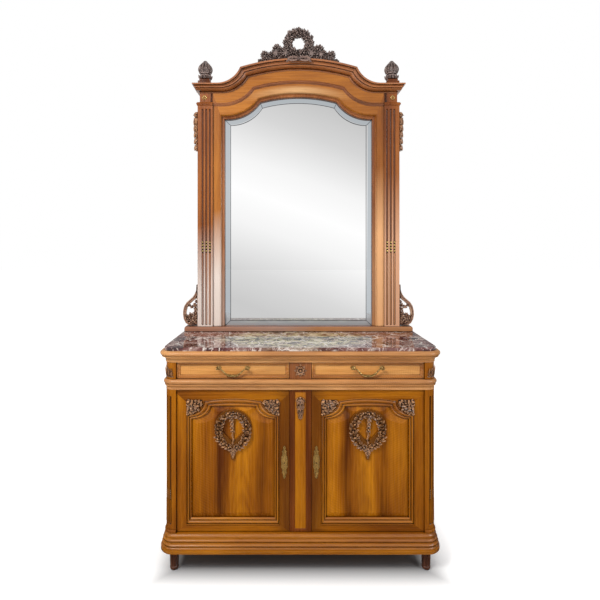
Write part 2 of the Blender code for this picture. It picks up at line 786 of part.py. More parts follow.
def wreath_outlines(centre, top):
    """Outer edge and hole of the wreath: a drop, rounded above and pointed below."""
    radius = WREATH_WIDTH / 2
    middle = top - radius
    outer = arc((centre, middle), (radius, radius), radians(-28), radians(208), 18)
    low = top - WREATH_HEIGHT
    tail = WREATH_TAIL
    outer += [(centre - 0.030, low + 0.010), (centre - 0.010, low), (centre - 0.007, low - tail)]
    outer += [(centre + 0.007, low - tail), (centre + 0.010, low), (centre + 0.030, low + 0.010)]
    inner = radius - WREATH_BAND
    hole = arc((centre, middle), (inner, inner), radians(-20), radians(200), 14)
    hole += [(centre, low + WREATH_BAND)]
    return outer, hole


def build_door(side, word):
    """One door: frame, panel, carving, escutcheon, lock and pivots."""
    hinge_x = DOOR_OUT - PIVOT_INSET
    carrier = pivot_empty(f"door_{word}_axis", (side * hinge_x, PIVOT_Y, 0))

    def turn_over(points):
        return [(side * x, z) for x, z in points]

    edge = door_line(0, 0, 0, 0, 0)
    grow = MOULDING_CORNER_GROW
    sight = door_line(MOULDING_SIDE, MOULDING_END, MOULDING_END, MOULDING_CROWN, grow)
    rebate = door_line(
        MOULDING_SIDE - REBATE,
        MOULDING_END - REBATE,
        MOULDING_END - REBATE,
        MOULDING_CROWN - REBATE,
        grow - REBATE,
    )
    back = DOOR_BACK_Y
    step = back - PANEL_THICKNESS - SEAT_GAP
    lines = [
        (outer_rectangle(), FACE_Y),
        (edge, FACE_Y),
        (blend_points(edge, sight, 0.14), FACE_Y - MOULDING_PROUD),
        (blend_points(edge, sight, 0.30), FACE_Y - MOULDING_PROUD * 0.6),
        (blend_points(edge, sight, 0.42), FACE_Y + MOULDING_SINK * 0.25),
        (blend_points(edge, sight, 0.80), FACE_Y + MOULDING_SINK * 0.55),
        (sight, FACE_Y + MOULDING_SINK),
        (sight, step),
        (rebate, step),
        (rebate, back),
        (outer_rectangle(), back),
    ]
    drawn = [[(x, y, z) for x, z in turn_over(line)] for line, y in lines]
    bm = loft([list(ring) for ring in zip(*drawn)], closed=True)
    frame = piece(f"door_frame_{word}", bm, WALNUT, carrier)

    cut = DOOR_EDGE_CUT
    corner = [(DOOR_OUT + cut, FACE_Y - cut), (DOOR_OUT + cut, FACE_Y + cut)]
    corner += [(DOOR_OUT, FACE_Y + cut), (DOOR_OUT - cut, FACE_Y), (DOOR_OUT - cut, FACE_Y - cut)]
    corner = [(side * x, y) for x, y in corner]
    bm = upright(corner, DOOR_BOTTOM - cut, DOOR_TOP + cut)
    combine(frame, tool(f"edge_cut_{word}", bm), "DIFFERENCE")
    for end, low in (("lower", DOOR_BOTTOM - cut), ("upper", DOOR_TOP - PIVOT_LENGTH)):
        bore = PIVOT_RADIUS + SEAT_GAP
        length = PIVOT_LENGTH + cut
        place = (side * hinge_x, PIVOT_Y, low)
        bm = turned([(bore, 0), (bore, length)], place, steps=12)
        combine(frame, tool(f"pivot_bore_{end}_{word}", bm), "DIFFERENCE")

    def keyhole():
        slot = KEYHOLE_SLOT_HALF
        round_part = arc(
            (LOCK_X, LOCK_HEIGHT), (KEYHOLE_RADIUS,) * 2, radians(-60), radians(240), 8
        )
        low = LOCK_HEIGHT - KEYHOLE_SLOT_DROP
        return round_part + [(LOCK_X - slot, low), (LOCK_X + slot, low)]

    bm = plate([turn_over(keyhole())], FACE_Y - cut, back + cut)
    combine(frame, tool(f"keyhole_cut_{word}", bm), "DIFFERENCE")

    half = DOOR_HALF - DOOR_STILE_OUTER
    top = DOOR_TOP - DOOR_SHOULDER_DROP
    for end, sign in (("inner", -1), ("outer", 1)):
        spread = (DOOR_SHOULDER_WIDTH - SPANDREL_MARGIN, DOOR_SHOULDER_HEIGHT - SPANDREL_MARGIN)
        leaf = arc((half, top), (-spread[0], -spread[1]), 0, pi / 2, SHOULDER_STEPS)
        leaf = [(DOOR_CENTRE + sign * x, z) for x, z in leaf + [(half, top)]]
        bm = plate([turn_over(leaf)], FACE_Y - SPANDREL_PROUD, FACE_Y + SPANDREL_PROUD)
        combine(frame, tool(f"spandrel_{end}_{word}", bm), "UNION")

    field = door_line(
        MOULDING_SIDE + FIELD_MARGIN,
        MOULDING_END + FIELD_MARGIN,
        MOULDING_END + FIELD_MARGIN,
        MOULDING_CROWN + FIELD_MARGIN,
        grow + FIELD_MARGIN / 2,
    )
    panel_front = step + SEAT_GAP
    shy = SEAT_GAP
    outline = door_line(
        MOULDING_SIDE - REBATE + shy,
        MOULDING_END - REBATE + shy,
        MOULDING_END - REBATE + shy,
        MOULDING_CROWN - REBATE + shy,
        grow - REBATE,
    )
    inside = blend_points(sight, field, 0.06)
    lines = [
        (outline, back),
        (outline, panel_front),
        (inside, panel_front),
        (field, panel_front - FIELD_PROUD),
    ]
    bm = loft([[(x, y, z) for x, z in turn_over(line)] for line, y in lines])
    panel = piece(f"door_panel_{word}", bm, WALNUT_FIGURED, carrier)
    outer, hole = wreath_outlines(DOOR_CENTRE, DOOR_TOP - WREATH_TOP_DROP)
    front = panel_front - FIELD_PROUD
    bm = plate([turn_over(outer), turn_over(hole)], front - WREATH_PROUD, front + 0.003)
    combine(panel, tool(f"wreath_{word}", bm), "UNION")
    stem_top = DOOR_TOP - WREATH_TOP_DROP - WREATH_BAND / 2
    stem = husk_outline(stem_top, 2 * WREATH_STEM_HALF, WREATH_HEIGHT - WREATH_BAND)
    stem = turn_over([(DOOR_CENTRE + x, z) for x, z in stem])
    bm = plate([stem], front - WREATH_PROUD * 0.7, front + 0.0025)
    combine(panel, tool(f"wreath_stem_{word}", bm), "UNION")

    build_lock(side, word, carrier, turn_over(keyhole()))
    for end, seat, way in (("lower", PLINTH_TOP, 1), ("upper", MID_BOTTOM, -1)):
        seat += way * SEAT_GAP
        collar = RUN_GAP - 2 * SEAT_GAP
        profile = [
            (PIVOT_COLLAR_RADIUS, 0),
            (PIVOT_COLLAR_RADIUS, way * collar),
            (PIVOT_RADIUS, way * collar),
            (PIVOT_RADIUS, way * PIVOT_LENGTH),
        ]
        bm = turned(profile, (side * hinge_x, PIVOT_Y, seat), steps=12)
        piece(f"door_pivot_{end}_{word}", bm, IRON)


def escutcheon_outline(side):
    """Long pierced plate: pointed ends, waists and a round shield at the keyhole."""
    half, tall = ESCUTCHEON_WIDTH / 2, ESCUTCHEON_HEIGHT / 2
    shape = [(0.10, 1.0), (0.42, 0.90), (0.30, 0.78), (0.62, 0.66), (0.50, 0.50), (0.92, 0.34)]
    shape += [(1.0, 0.10), (0.86, -0.10), (1.0, -0.28), (0.52, -0.46), (0.66, -0.62)]
    shape += [(0.34, -0.76), (0.42, -0.88), (0.10, -1.0)]
    middle = LOCK_HEIGHT + 0.003
    right = [(half * x, middle + tall * z) for x, z in shape]
    outline = right + [(-x, z) for x, z in reversed(right)]
    return [(side * (LOCK_X + x), z) for x, z in outline]


def build_lock(side, word, carrier, keyhole):
    """The brass escutcheon, and the lock on the back of the door with its sliding bolt."""
    front = FACE_Y - SEAT_GAP
    bm = plate([escutcheon_outline(side), keyhole], front - ESCUTCHEON_THICKNESS, front)
    piece(f"escutcheon_{word}", bm, BRASS, carrier)

    back = DOOR_BACK_Y + SEAT_GAP
    far = back + LOCK_CASE_THICKNESS
    slot = back + BOLT_THICKNESS + 2 * BOLT_PLAY
    tall, gate = LOCK_CASE_HEIGHT / 2, BOLT_HEIGHT / 2 + BOLT_PLAY
    section = [(back, -tall), (back, -gate), (slot, -gate), (slot, gate), (back, gate)]
    section += [(back, tall), (far, tall), (far, -tall)]
    near = DOOR_IN + RUN_GAP
    rings = []
    for x in (near, near + LOCK_CASE_WIDTH):
        rings.append([(side * x, y, LOCK_HEIGHT + z) for y, z in section])
    piece(f"lock_case_{word}", loft(rings), IRON, carrier)

    place = (side * near, slot - BOLT_PLAY, LOCK_HEIGHT)
    runner = pivot_empty(f"bolt_{word}_axis", place, carrier)
    low_y = back + BOLT_PLAY
    low = (near, low_y, LOCK_HEIGHT - BOLT_HEIGHT / 2)
    high = (near + BOLT_LENGTH, low_y + BOLT_THICKNESS, LOCK_HEIGHT + BOLT_HEIGHT / 2)
    xs = sorted((side * low[0], side * high[0]))
    bm = box((xs[0], *low[1:]), (xs[1], *high[1:]))
    piece(f"lock_bolt_{word}", bm, IRON, runner)


def build_drawer(side, word):
    """One drawer: moulded front, box, bottom and the brass handle."""
    centre = side * DOOR_CENTRE
    half = DOOR_HALF
    carrier = pivot_empty(f"drawer_{word}_axis", (centre, FACE_Y, DRAWER_BOTTOM))
    rings = []
    for inset, y in (
        (0, DRAWER_BACK_Y),
        (0, FACE_Y),
        (DRAWER_LIP, FACE_Y - DRAWER_LIP / 3),
        (DRAWER_LIP + 0.003, FACE_Y + DRAWER_SINK * 0.25),
        (DRAWER_BORDER - 0.003, FACE_Y + DRAWER_SINK * 0.6),
        (DRAWER_BORDER, DRAWER_FIELD_Y),
    ):
        x, low, high = half - inset, DRAWER_BOTTOM + inset, DRAWER_TOP - inset
        ring = [(-x, low), (x, low), (x, high), (-x, high)]
        rings.append([(centre + u, y, z) for u, z in ring])
    piece(f"drawer_front_{word}", loft(rings), WALNUT_FIGURED, carrier)

    out = half - RUN_GAP
    inner = out - BOX_WALL
    near = DRAWER_BACK_Y + SEAT_GAP
    far = BOARD_BACK - BOX_BACK_GAP
    plan = [(-out, near), (-inner, near), (-inner, far - BOX_WALL), (inner, far - BOX_WALL)]
    plan += [(inner, near), (out, near), (out, far), (-out, far)]
    plan = [(centre + x, y) for x, y in plan]
    low = MID_TOP + SEAT_GAP
    piece(f"drawer_box_{word}", upright(plan, low, low + BOX_HEIGHT), PLAIN_BOARD, carrier)
    low += BOX_BOTTOM_RAISE
    inner -= SEAT_GAP
    start = (centre - inner, near, low)
    stop = (centre + inner, far - BOX_WALL - SEAT_GAP, low + BOX_BOTTOM)
    piece(f"drawer_bottom_{word}", box(start, stop), PLAIN_BOARD, carrier)

    spread = HANDLE_SPACING / 2
    for end, sign in (("left", -1), ("right", 1)):
        x = centre + sign * spread
        base = DRAWER_FIELD_Y - SEAT_GAP
        head = POST_HEAD_RADIUS
        profile = [
            (POST_ROSE_RADIUS, base),
            (POST_ROSE_RADIUS, base - 0.002),
            (POST_STEM_RADIUS, base - 0.004),
            (POST_STEM_RADIUS, HANDLE_Y + head * 0.8),
            (head * 0.85, HANDLE_Y + head * 0.5),
            (head, HANDLE_Y),
            (head * 0.85, HANDLE_Y - head * 0.5),
            (head * 0.4, HANDLE_Y - head * 0.9),
        ]
        bm = turned(profile, (x, 0, HANDLE_Z), "Y", 12)
        item = piece(f"handle_post_{word}_{end}", bm, BRASS, carrier)
        eye = BAIL_RADIUS * 0.8 + EYE_PLAY
        inside = x - sign * (head + 0.002)
        place = (min(inside, x + sign * 0.001), HANDLE_Y, HANDLE_Z)
        bm = turned([(eye, 0), (eye, head + 0.003)], place, "X", 10)
        combine(item, tool(f"handle_eye_{word}_{end}", bm), "DIFFERENCE")

    swing = pivot_empty(f"bail_{word}_axis", (centre, HANDLE_Y, HANDLE_Z), carrier)
    piece(f"drawer_bail_{word}", bail(centre), BRASS, swing)


def bail(centre):
    """Swan-neck bail: pins in the posts, necks that dip, and a fuller belly."""
    reach = HANDLE_SPACING / 2
    pin_end = reach - EYE_PLAY
    neck = reach - POST_HEAD_RADIUS - EYE_PLAY
    half = [
        (pin_end, 0, BAIL_RADIUS * 0.8),
        (neck, 0, BAIL_RADIUS * 0.8),
        (neck - 0.004, -0.001, BAIL_RADIUS),
        (neck - 0.010, -0.006, BAIL_RADIUS),
        (neck - 0.018, -0.016, BAIL_RADIUS),
        (neck - 0.026, -0.026, BAIL_RADIUS),
        (neck - 0.036, -0.033, (BAIL_RADIUS + BAIL_BELLY_RADIUS) / 2),
        (0.010, -BAIL_DROP + BAIL_BELLY_RADIUS, BAIL_BELLY_RADIUS),
    ]
    line = half + [(-x, z, radius) for x, z, radius in reversed(half)]
    rings = []
    for i, (x, z, radius) in enumerate(line):
        before, after = line[max(i - 1, 0)], line[min(i + 1, len(line) - 1)]
        along = Vector((after[0] - before[0], 0, after[1] - before[1])).normalized()
        if i in (0, 1, len(line) - 2, len(line) - 1):
            along = Vector((-1, 0, 0))
        across = along.cross(Vector((0, 1, 0)))
        ring = []
        for k in range(8):
            turn = 2 * pi * k / 8
            offset = across * (radius * cos(turn)) + Vector((0, radius * sin(turn), 0))
            ring.append(Vector((centre + x, HANDLE_Y, HANDLE_Z + z)) + offset)
        rings.append(ring)
    return loft(rings)


def arch_line(end_half, shoulder_half, lift, kink_spread, crown_lift):
    """A line of the mirror's head, from the centre of the sight line outwards.

    It runs level from its end to the shoulder, sweeps up to a kink and then over the crown.
    """
    end = SILL_TOP + SIGHT_CORNER + lift
    crown = SILL_TOP + SIGHT_CORNER + SIGHT_KINK_RISE + SIGHT_CROWN_RISE + crown_lift
    crown_rise = SIGHT_CROWN_RISE + kink_spread * CROWN_GAIN
    kink_half, kink = SIGHT_KINK_HALF + kink_spread, crown - crown_rise
    across, rise = shoulder_half - kink_half, kink - end
    radius = (across * across + rise * rise) / (2 * rise)
    sweep = acos((radius - rise) / radius)
    ogee = arc(
        (shoulder_half, end + radius), (radius, radius), -pi / 2, -pi / 2 - sweep, OGEE_STEPS
    )
    radius = (kink_half * kink_half + crown_rise * crown_rise) / (2 * crown_rise)
    spread = acos((radius - crown_rise) / radius)
    over = arc((0, crown - radius), (radius, radius), pi / 2 - spread, pi / 2, ARCH_STEPS)
    return [(end_half, end)] + ogee + over[1:]


def both_sides(half_line):
    """Adds the left half to a line that runs from the right end to the centre."""
    return half_line + [(-x, z) for x, z in reversed(half_line[:-1])]


def sight_line(grow):
    """The mirror's sight line, or a line this far outside it."""
    shoulder = SIGHT_HALF - SIGHT_SHOULDER
    return arch_line(SIGHT_HALF + grow, shoulder + grow * 0.3, grow, grow * 0.4, grow)


def cornice_lower(end_half):
    """The cornice's lower edge."""
    shoulder = SIGHT_HALF + CORNICE_LOW_SHOULDER
    return arch_line(end_half, shoulder, CORNICE_LIFT, CORNICE_LOW_KINK, CORNICE_LIFT)


def cornice_upper(end_half):
    """The cornice's upper edge."""
    shoulder = SIGHT_HALF + CORNICE_TOP_SHOULDER
    lift = CORNICE_LIFT + CORNICE_HEIGHT
    return arch_line(end_half, shoulder, lift, CORNICE_TOP_KINK, lift + CORNICE_CROWN_GROW)


def with_feet(line, bottom):
    """Carries a line of the head down to a level at both ends."""
    right, left = line[0], line[-1]
    return [(right[0], bottom)] + line + [(left[0], bottom)]


def astragal(end_half):
    """The small round moulding that crosses the arch, in line with the pilasters' bands."""
    section = (
        (0, -0.5),
        (0, 0.6),
        (0.16, 0.95),
        (0.26, 0.95),
        (0.52, 1.15),
        (0.78, 0.95),
        (0.86, 0.6),
        (1, 0.5),
        (1, -0.5),
    )
    drawn = []
    for rise, out in section:
        lift = SIGHT_MOULDING + FLAT_BAND + BAND_HEIGHT * rise
        shoulder = SIGHT_HALF + lift * ASTRAGAL_SHOULDER_SHARE
        half = arch_line(end_half, shoulder, lift, lift * ASTRAGAL_KINK_SHARE, lift)
        y = FRAME_FRONT - ASTRAGAL_PROUD * out
        drawn.append([(x, y, z) for x, z in both_sides(half)])
    return loft([list(ring) for ring in zip(*drawn)])


def build_mirror_frame():
    """The arched frame with its sight moulding, the glass and the board behind it."""
    bottom = SILL_TOP + SEAT_GAP
    sight = sight_line(0)
    mould = sight_line(SIGHT_MOULDING)
    rebate = sight_line(GLASS_LAP + GLASS_PLAY)
    edge = [(x, z - SEAT_GAP) for x, z in cornice_lower(PILASTER_INNER - SEAT_GAP)]
    glass_gap = GLASS_FRONT - SEAT_GAP
    lines = [
        (edge, FRAME_FRONT),
        (mould, FRAME_FRONT),
        (blend_points(mould, sight, 0.12), FRAME_FRONT - 0.004),
        (blend_points(mould, sight, 0.40), FRAME_FRONT - 0.003),
        (blend_points(mould, sight, 0.70), FRAME_FRONT + 0.010),
        (sight, FRAME_FRONT + 0.020),
        (sight, glass_gap),
        (rebate, glass_gap),
        (rebate, FRAME_BACK),
        (edge, FRAME_BACK),
    ]
    drawn = []
    for line, y in lines:
        drawn.append([(x, y, z) for x, z in with_feet(both_sides(line), bottom)])
    frame = piece("mirror_frame", loft([list(ring) for ring in zip(*drawn)]), WALNUT_FIGURED)
    combine(frame, tool("arch_astragal", astragal(PILASTER_INNER - 2 * SEAT_GAP)), "UNION")

    edge_line = with_feet(both_sides(sight_line(GLASS_LAP)), bottom)
    inside = with_feet(both_sides(sight_line(-GLASS_PLAY)), bottom + GLASS_PLAY)
    bevel = with_feet(both_sides(sight_line(-BEVEL_WIDTH)), bottom + BEVEL_BOTTOM)
    rings = []
    for line, y in (
        (edge_line, GLASS_FRONT + GLASS_EDGE),
        (edge_line, GLASS_FRONT),
        (inside, GLASS_FRONT),
        (bevel, GLASS_FRONT - GLASS_CROWN),
    ):
        rings.append([(x, y, z) for x, z in line])
    piece("mirror_glass", loft(rings), GLASS)

    outline = with_feet(both_sides(edge), bottom)
    front = FRAME_BACK + SEAT_GAP
    bm = plate([outline], front, front + BACKBOARD_THICKNESS)
    piece("mirror_backboard", bm, PLAIN_BOARD)


def build_cornice():
    """The moulded cornice: returns at the sides, a sweep, a kink and an arch."""
    corner = PILASTER_OUT - BLOCK_INSET
    profile = [
        (0.0, 0.06),
        (0.10, 0.19),
        (0.22, 0.25),
        (0.26, 0.38),
        (0.42, 0.62),
        (0.50, 0.67),
        (0.56, 0.81),
        (0.76, 0.88),
        (0.84, 0.90),
        (0.88, 1.0),
        (1.0, 1.0),
    ]
    face = PILASTER_FRONT + BLOCK_INSET
    columns = []
    for share, out in profile:
        reach = CORNICE_REACH * out
        half = corner + reach * CORNICE_SIDE_SHARE
        lower, upper = both_sides(cornice_lower(half)), both_sides(cornice_upper(half))
        line = [(x, face - reach, z) for x, z in blend_points(lower, upper, share)]
        right, left = line[0], line[-1]
        right_back = (right[0], BACK_Y, right[2])
        left_back = (left[0], BACK_Y, left[2])
        columns.append([right_back] + line + [left_back])
    for share in (1.0, 0.0):
        half = corner - CORNICE_BACK_INSET
        lower, upper = both_sides(cornice_lower(half)), both_sides(cornice_upper(half))
        line = [(x, BACK_Y, z) for x, z in blend_points(lower, upper, share)]
        columns.append([line[0]] + line + [line[-1]])
    piece("cornice", loft([list(ring) for ring in zip(*columns)]), WALNUT_DARK)


def pilaster_ring(side, z, reach, fluted):
    """One level of a pilaster, with three flutes on its face."""
    front = PILASTER_FRONT - reach
    points = [(PILASTER_INNER, BACK_Y), (PILASTER_INNER, front)]
    middle = PILASTER_INNER + FLUTE_OFFSET
    for i in range(PILASTER_FLUTES):
        x = middle + (i - (PILASTER_FLUTES - 1) / 2) * FLUTE_SPACING
        deep = front + FLUTE_DEPTH * fluted
        points += [(x - FLUTE_HALF, front), (x, deep), (x + FLUTE_HALF, front)]
    outer = PILASTER_OUT + reach
    points += [(outer, front), (outer, BACK_Y)]
    return [(side * x, y, z) for x, y in points]


def build_pilasters():
    """The fluted pilasters with the band and block at their heads."""
    foot = SILL_TOP + SEAT_GAP
    band = SILL_TOP + SIGHT_CORNER + SIGHT_MOULDING + FLAT_BAND
    head = band + BAND_HEIGHT + FRIEZE_BAND - SEAT_GAP
    levels = [
        (foot, 0, 0),
        (foot + FLUTE_START - 0.006, 0, 0),
        (foot + FLUTE_START, 0, 1),
        (band - FLUTE_STOP - 0.006, 0, 1),
        (band - FLUTE_STOP, 0, 0),
        (band, 0, 0),
        (band + 0.003, BAND_PROUD, 0),
        (band + BAND_HEIGHT - 0.003, BAND_PROUD, 0),
        (band + BAND_HEIGHT, 0, 0),
        (band + BAND_HEIGHT + 0.002, -BLOCK_INSET, 0),
        (head, -BLOCK_INSET, 0),
    ]
    for side, word in ((-1, "left"), (1, "right")):
        rings = [pilaster_ring(side, z, reach, fluted) for z, reach, fluted in levels]
        item = piece(f"pilaster_{word}", loft(rings), WALNUT_DARK)
        combine(item, tool(f"ribbon_drop_{word}", ribbon_drop(side, band)), "UNION")


def ribbon_drop(side, band):
    """A carved drop on a pilaster's outer side: a knob over a chain of loops."""
    low = band - DROP_TOP_DROP - DROP_HEIGHT
    knob = 2 * DROP_RADIUS
    loop = (DROP_HEIGHT - knob) / DROP_LOOPS
    levels = [(0.55, 0)]
    for i in range(DROP_LOOPS):
        size = 0.72 + 0.2 * i / DROP_LOOPS
        levels += [(size, (i + 0.5) * loop), (0.58, (i + 1) * loop)]
    levels += [(1.0, DROP_HEIGHT - knob / 2), (0.6, DROP_HEIGHT)]
    profile = [(DROP_RADIUS * share, low + z) for share, z in levels]
    x = side * (PILASTER_OUT + DROP_RADIUS * DROP_STAND)
    y = PILASTER_FRONT + DROP_RADIUS + DROP_SETBACK
    return turned(profile, (x, y, 0), steps=8)


def build_sill():
    """The rail on the marble that carries the mirror unit."""
    half, cut = SILL_WIDTH / 2, SILL_CORNER_CUT
    front = SILL_FRONT
    rings = []
    for inset, z in (
        (0.002, MIRROR_BOTTOM),
        (0, MIRROR_BOTTOM + 0.003),
        (0, SILL_TOP - 0.009),
        (0.0015, SILL_TOP - 0.004),
        (0.005, SILL_TOP),
    ):
        right = [(half - inset, BACK_Y), (half - inset, front + inset + cut)]
        right.append((half - inset - cut, front + inset))
        ring = right + [(-x, y) for x, y in reversed(right)]
        rings.append([(x, y, z) for x, y in ring])
    piece("mirror_sill", loft(rings), WALNUT_DARK)


def build_brackets():
    """Carved scroll brackets at the feet of the pilasters."""
    start, low = PILASTER_OUT + SEAT_GAP, SILL_TOP + SEAT_GAP
    outer = start + BRACKET_WIDTH
    half_tall = BRACKET_SCROLL_HEIGHT / 2
    half_wide = BRACKET_WIDTH * 0.72
    centre = (outer - half_wide, low + half_tall)
    outline = [(start, low), (centre[0], low)]
    outline += arc(centre, (half_wide, half_tall), radians(-80), radians(66), 12)
    top = low + BRACKET_HEIGHT
    tip = (outer - BRACKET_WIDTH * 0.42, top)
    spread = (BRACKET_TIP_WIDTH, BRACKET_TIP_HEIGHT)
    outline += arc(tip, spread, radians(-109), radians(-166), 4) + [(start, top)]
    front = PILASTER_FRONT + BRACKET_SETBACK
    for side, word in ((-1, "left"), (1, "right")):
        points = [(side * x, z) for x, z in outline]
        bm = plate([points], front, front + BRACKET_THICKNESS)
        piece(f"scroll_bracket_{word}", bm, CARVED)


def build_finials():
    """Carved finials, each on its block over the end of the cornice."""
    base = cornice_upper(PILASTER_OUT)[0][1] + SEAT_GAP
    half = FINIAL_BLOCK / 2
    y = CORNICE_FRONT + FINIAL_SETBACK + half
    levels = [
        (0.55, 0),
        (0.80, 0.05),
        (0.93, 0.16),
        (0.93, 0.28),
        (0.76, 0.36),
        (0.90, 0.42),
        (1.0, 0.55),
        (0.90, 0.68),
        (0.62, 0.84),
        (0.30, 0.95),
        (0.08, 1.0),
    ]
    for side, word in ((-1, "left"), (1, "right")):
        x = side * (PILASTER_OUT - FINIAL_INSET)
        rings = []
        for level in (base, base + FINIAL_BLOCK_HEIGHT):
            ring = []
            for i in range(TURN_STEPS):
                turn = 2 * pi * i / TURN_STEPS
                here = half / max(abs(cos(turn)), abs(sin(turn)))
                ring.append((x + here * cos(turn), y + here * sin(turn), level))
            rings.append(ring)
        for share, rise in levels:
            ring = []
            for i in range(TURN_STEPS):
                turn = 2 * pi * i / TURN_STEPS
                here = FINIAL_RADIUS * share * (1 - FINIAL_LOBE * (i % 2))
                z = base + FINIAL_BLOCK_HEIGHT + FINIAL_HEIGHT * rise
                ring.append((x + here * cos(turn), y + here * sin(turn), z))
            rings.append(ring)
        piece(f"finial_{word}", loft(rings), CARVED)


def crest_height(x):
    """Height of the crest above the cornice: a wreath and falling sprays of leaves."""
    wreath = CREST_WREATH_HALF
    share = abs(x) / CREST_HALF
    best = CREST_HEIGHT * 0.07 * (1 - share)
    if abs(x) < wreath:
        best = CREST_HEIGHT * (0.5 + 0.5 * sqrt(1 - (x / wreath) ** 2))
    for middle, reach, tall in ((0.54, 0.11, 0.52), (0.76, 0.13, 0.40), (0.92, 0.10, 0.24)):
        off = (share - middle) / reach
        if abs(off) < 1:
            best = max(best, CREST_HEIGHT * tall * sqrt(1 - off * off))
    return best


def build_crest():
    """The carved crest: a pierced wreath between sprays, seated on the arch."""
    line = both_sides(cornice_upper(PILASTER_OUT))
    crown = max(z for _, z in line)
    half, rise = SIGHT_KINK_HALF + CORNICE_TOP_KINK, SIGHT_CROWN_RISE + CORNICE_TOP_KINK * CROWN_GAIN
    radius = (half * half + rise * rise) / (2 * rise)

    def seat(x):
        return crown - radius + sqrt(radius * radius - x * x) + SEAT_GAP

    outline = []
    for i in range(CREST_STEPS + 1):
        x = CREST_HALF * (1 - 2 * i / CREST_STEPS)
        outline.append((x, seat(x) + max(crest_height(x), CREST_EDGE)))
    seat_steps = 2 * OGEE_STEPS
    for i in range(seat_steps + 1):
        x = CREST_HALF * (2 * i / seat_steps - 1)
        outline.append((x, seat(x)))
    centre = (0, crown + CREST_HOLE_RISE)
    hole = arc(centre, (CREST_HOLE_RADIUS,) * 2, 0, 2 * pi, 14)[:-1]
    front = CORNICE_FRONT + CREST_SETBACK
    bm = plate([outline, hole], front, front + CREST_THICKNESS)
    piece("crest", bm, CARVED)


def main():
    """Builds the sideboard from the floor up."""
    clear_scene()
    build_feet()
    build_plinth()
    build_case()
    build_posts()
    build_mouldings()
    build_marble()
    build_stile()
    build_frieze_block()
    for side, word in ((-1, "left"), (1, "right")):
        build_door(side, word)
        build_drawer(side, word)
    build_sill()
    build_pilasters()
    build_mirror_frame()
    build_cornice()
    build_brackets()
    build_finials()
    build_crest()


main()
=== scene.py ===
"""Dressed model of a walnut sideboard with a marble top and a tall arched mirror.

Metres, +Z up, the front faces -Y. Left and right are as seen from the front.
"""

import json
import logging
import random
from dataclasses import dataclass, field
from enum import Enum
from math import acos, cos, pi, radians, sin, sqrt
from typing import Iterable, Sequence

import bmesh
import bpy
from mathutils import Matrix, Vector

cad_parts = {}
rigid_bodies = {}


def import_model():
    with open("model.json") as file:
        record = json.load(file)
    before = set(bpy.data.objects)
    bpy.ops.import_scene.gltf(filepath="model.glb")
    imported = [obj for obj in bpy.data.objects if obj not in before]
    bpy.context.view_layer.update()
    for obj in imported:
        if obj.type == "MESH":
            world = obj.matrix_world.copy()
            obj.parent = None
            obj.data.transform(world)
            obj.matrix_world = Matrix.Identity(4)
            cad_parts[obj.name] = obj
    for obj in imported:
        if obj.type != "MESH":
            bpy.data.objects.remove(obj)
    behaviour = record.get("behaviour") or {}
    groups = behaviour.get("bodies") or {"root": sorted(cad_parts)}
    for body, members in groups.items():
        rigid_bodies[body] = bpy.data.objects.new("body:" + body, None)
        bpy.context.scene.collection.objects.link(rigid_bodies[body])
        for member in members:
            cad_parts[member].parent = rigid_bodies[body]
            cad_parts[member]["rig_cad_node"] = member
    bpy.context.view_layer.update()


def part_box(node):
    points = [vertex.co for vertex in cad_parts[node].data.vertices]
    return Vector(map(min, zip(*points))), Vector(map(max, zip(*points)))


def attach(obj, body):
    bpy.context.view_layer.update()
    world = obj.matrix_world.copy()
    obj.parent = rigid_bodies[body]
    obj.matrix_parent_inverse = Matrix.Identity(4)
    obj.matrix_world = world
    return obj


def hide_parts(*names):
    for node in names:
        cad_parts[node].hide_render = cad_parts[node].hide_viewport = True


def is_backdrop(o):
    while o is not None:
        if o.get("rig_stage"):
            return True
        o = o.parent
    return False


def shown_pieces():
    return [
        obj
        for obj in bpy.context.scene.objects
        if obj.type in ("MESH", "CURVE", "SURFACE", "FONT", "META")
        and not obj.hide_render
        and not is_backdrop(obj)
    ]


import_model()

logging.basicConfig(level=logging.INFO, format="%(message)s")
log = logging.getLogger("sideboard")

RGB = tuple[float, float, float]
Point = tuple[float, float]
Socket = bpy.types.NodeSocket
Levels = list[tuple[float, float, float]]
SIDES: tuple[tuple[int, str], ...] = ((-1, "left"), (1, "right"))
OUT = Vector((0, -1, 0))
UP = Vector((0, 0, 1))

# Gap between two pieces that sit on each other, and the distance within which points are one.
GAP = 0.0003
MERGE = 2e-6

# Steps either side of a flute's middle, and the height of a step at its round ends.
FLUTE_STEPS = 4
FLUTE_RISE = 0.0015

# Clouds a metre across, across and along a walnut's grain, and its bars of figure a metre.
WAVE_SCALE = (7, 7, 2.2)
CLOUD_SCALE = (16, 16, 1.1)
STREAK_SCALE = (120, 120, 1.8)
PORE_SCALE = (620, 620, 9)
FIGURE_BARS = 620.0

# Stains and painted light that every walnut shares: a red stain, a darkening towards the middle,
# painted shade for hollows and for the wreath's plate, a painted warm highlight and a painted pale
# glare.
RED_STAIN: RGB = (104, 46, 16)
MIDDLE_DARKENING: RGB = (70, 32, 10)
HOLLOW_SHADE: RGB = (26, 11, 5)
PLATE_SHADE: RGB = (112, 66, 20)
WINDOW_GLOW: RGB = (250, 206, 150)
GLARE_LEFT: RGB = (236, 224, 215)


def linear(colour: RGB) -> tuple[float, float, float, float]:
    """Turns a colour of 0 to 255 values into the linear values that sockets take.

    Args:
        colour: Red, green and blue as they are seen on a screen.

    Returns:
        Red, green, blue and a full alpha.
    """
    steps = [value / 255 for value in colour]
    return (*(v / 12.92 if v <= 0.04045 else ((v + 0.055) / 1.055) ** 2.4 for v in steps), 1.0)


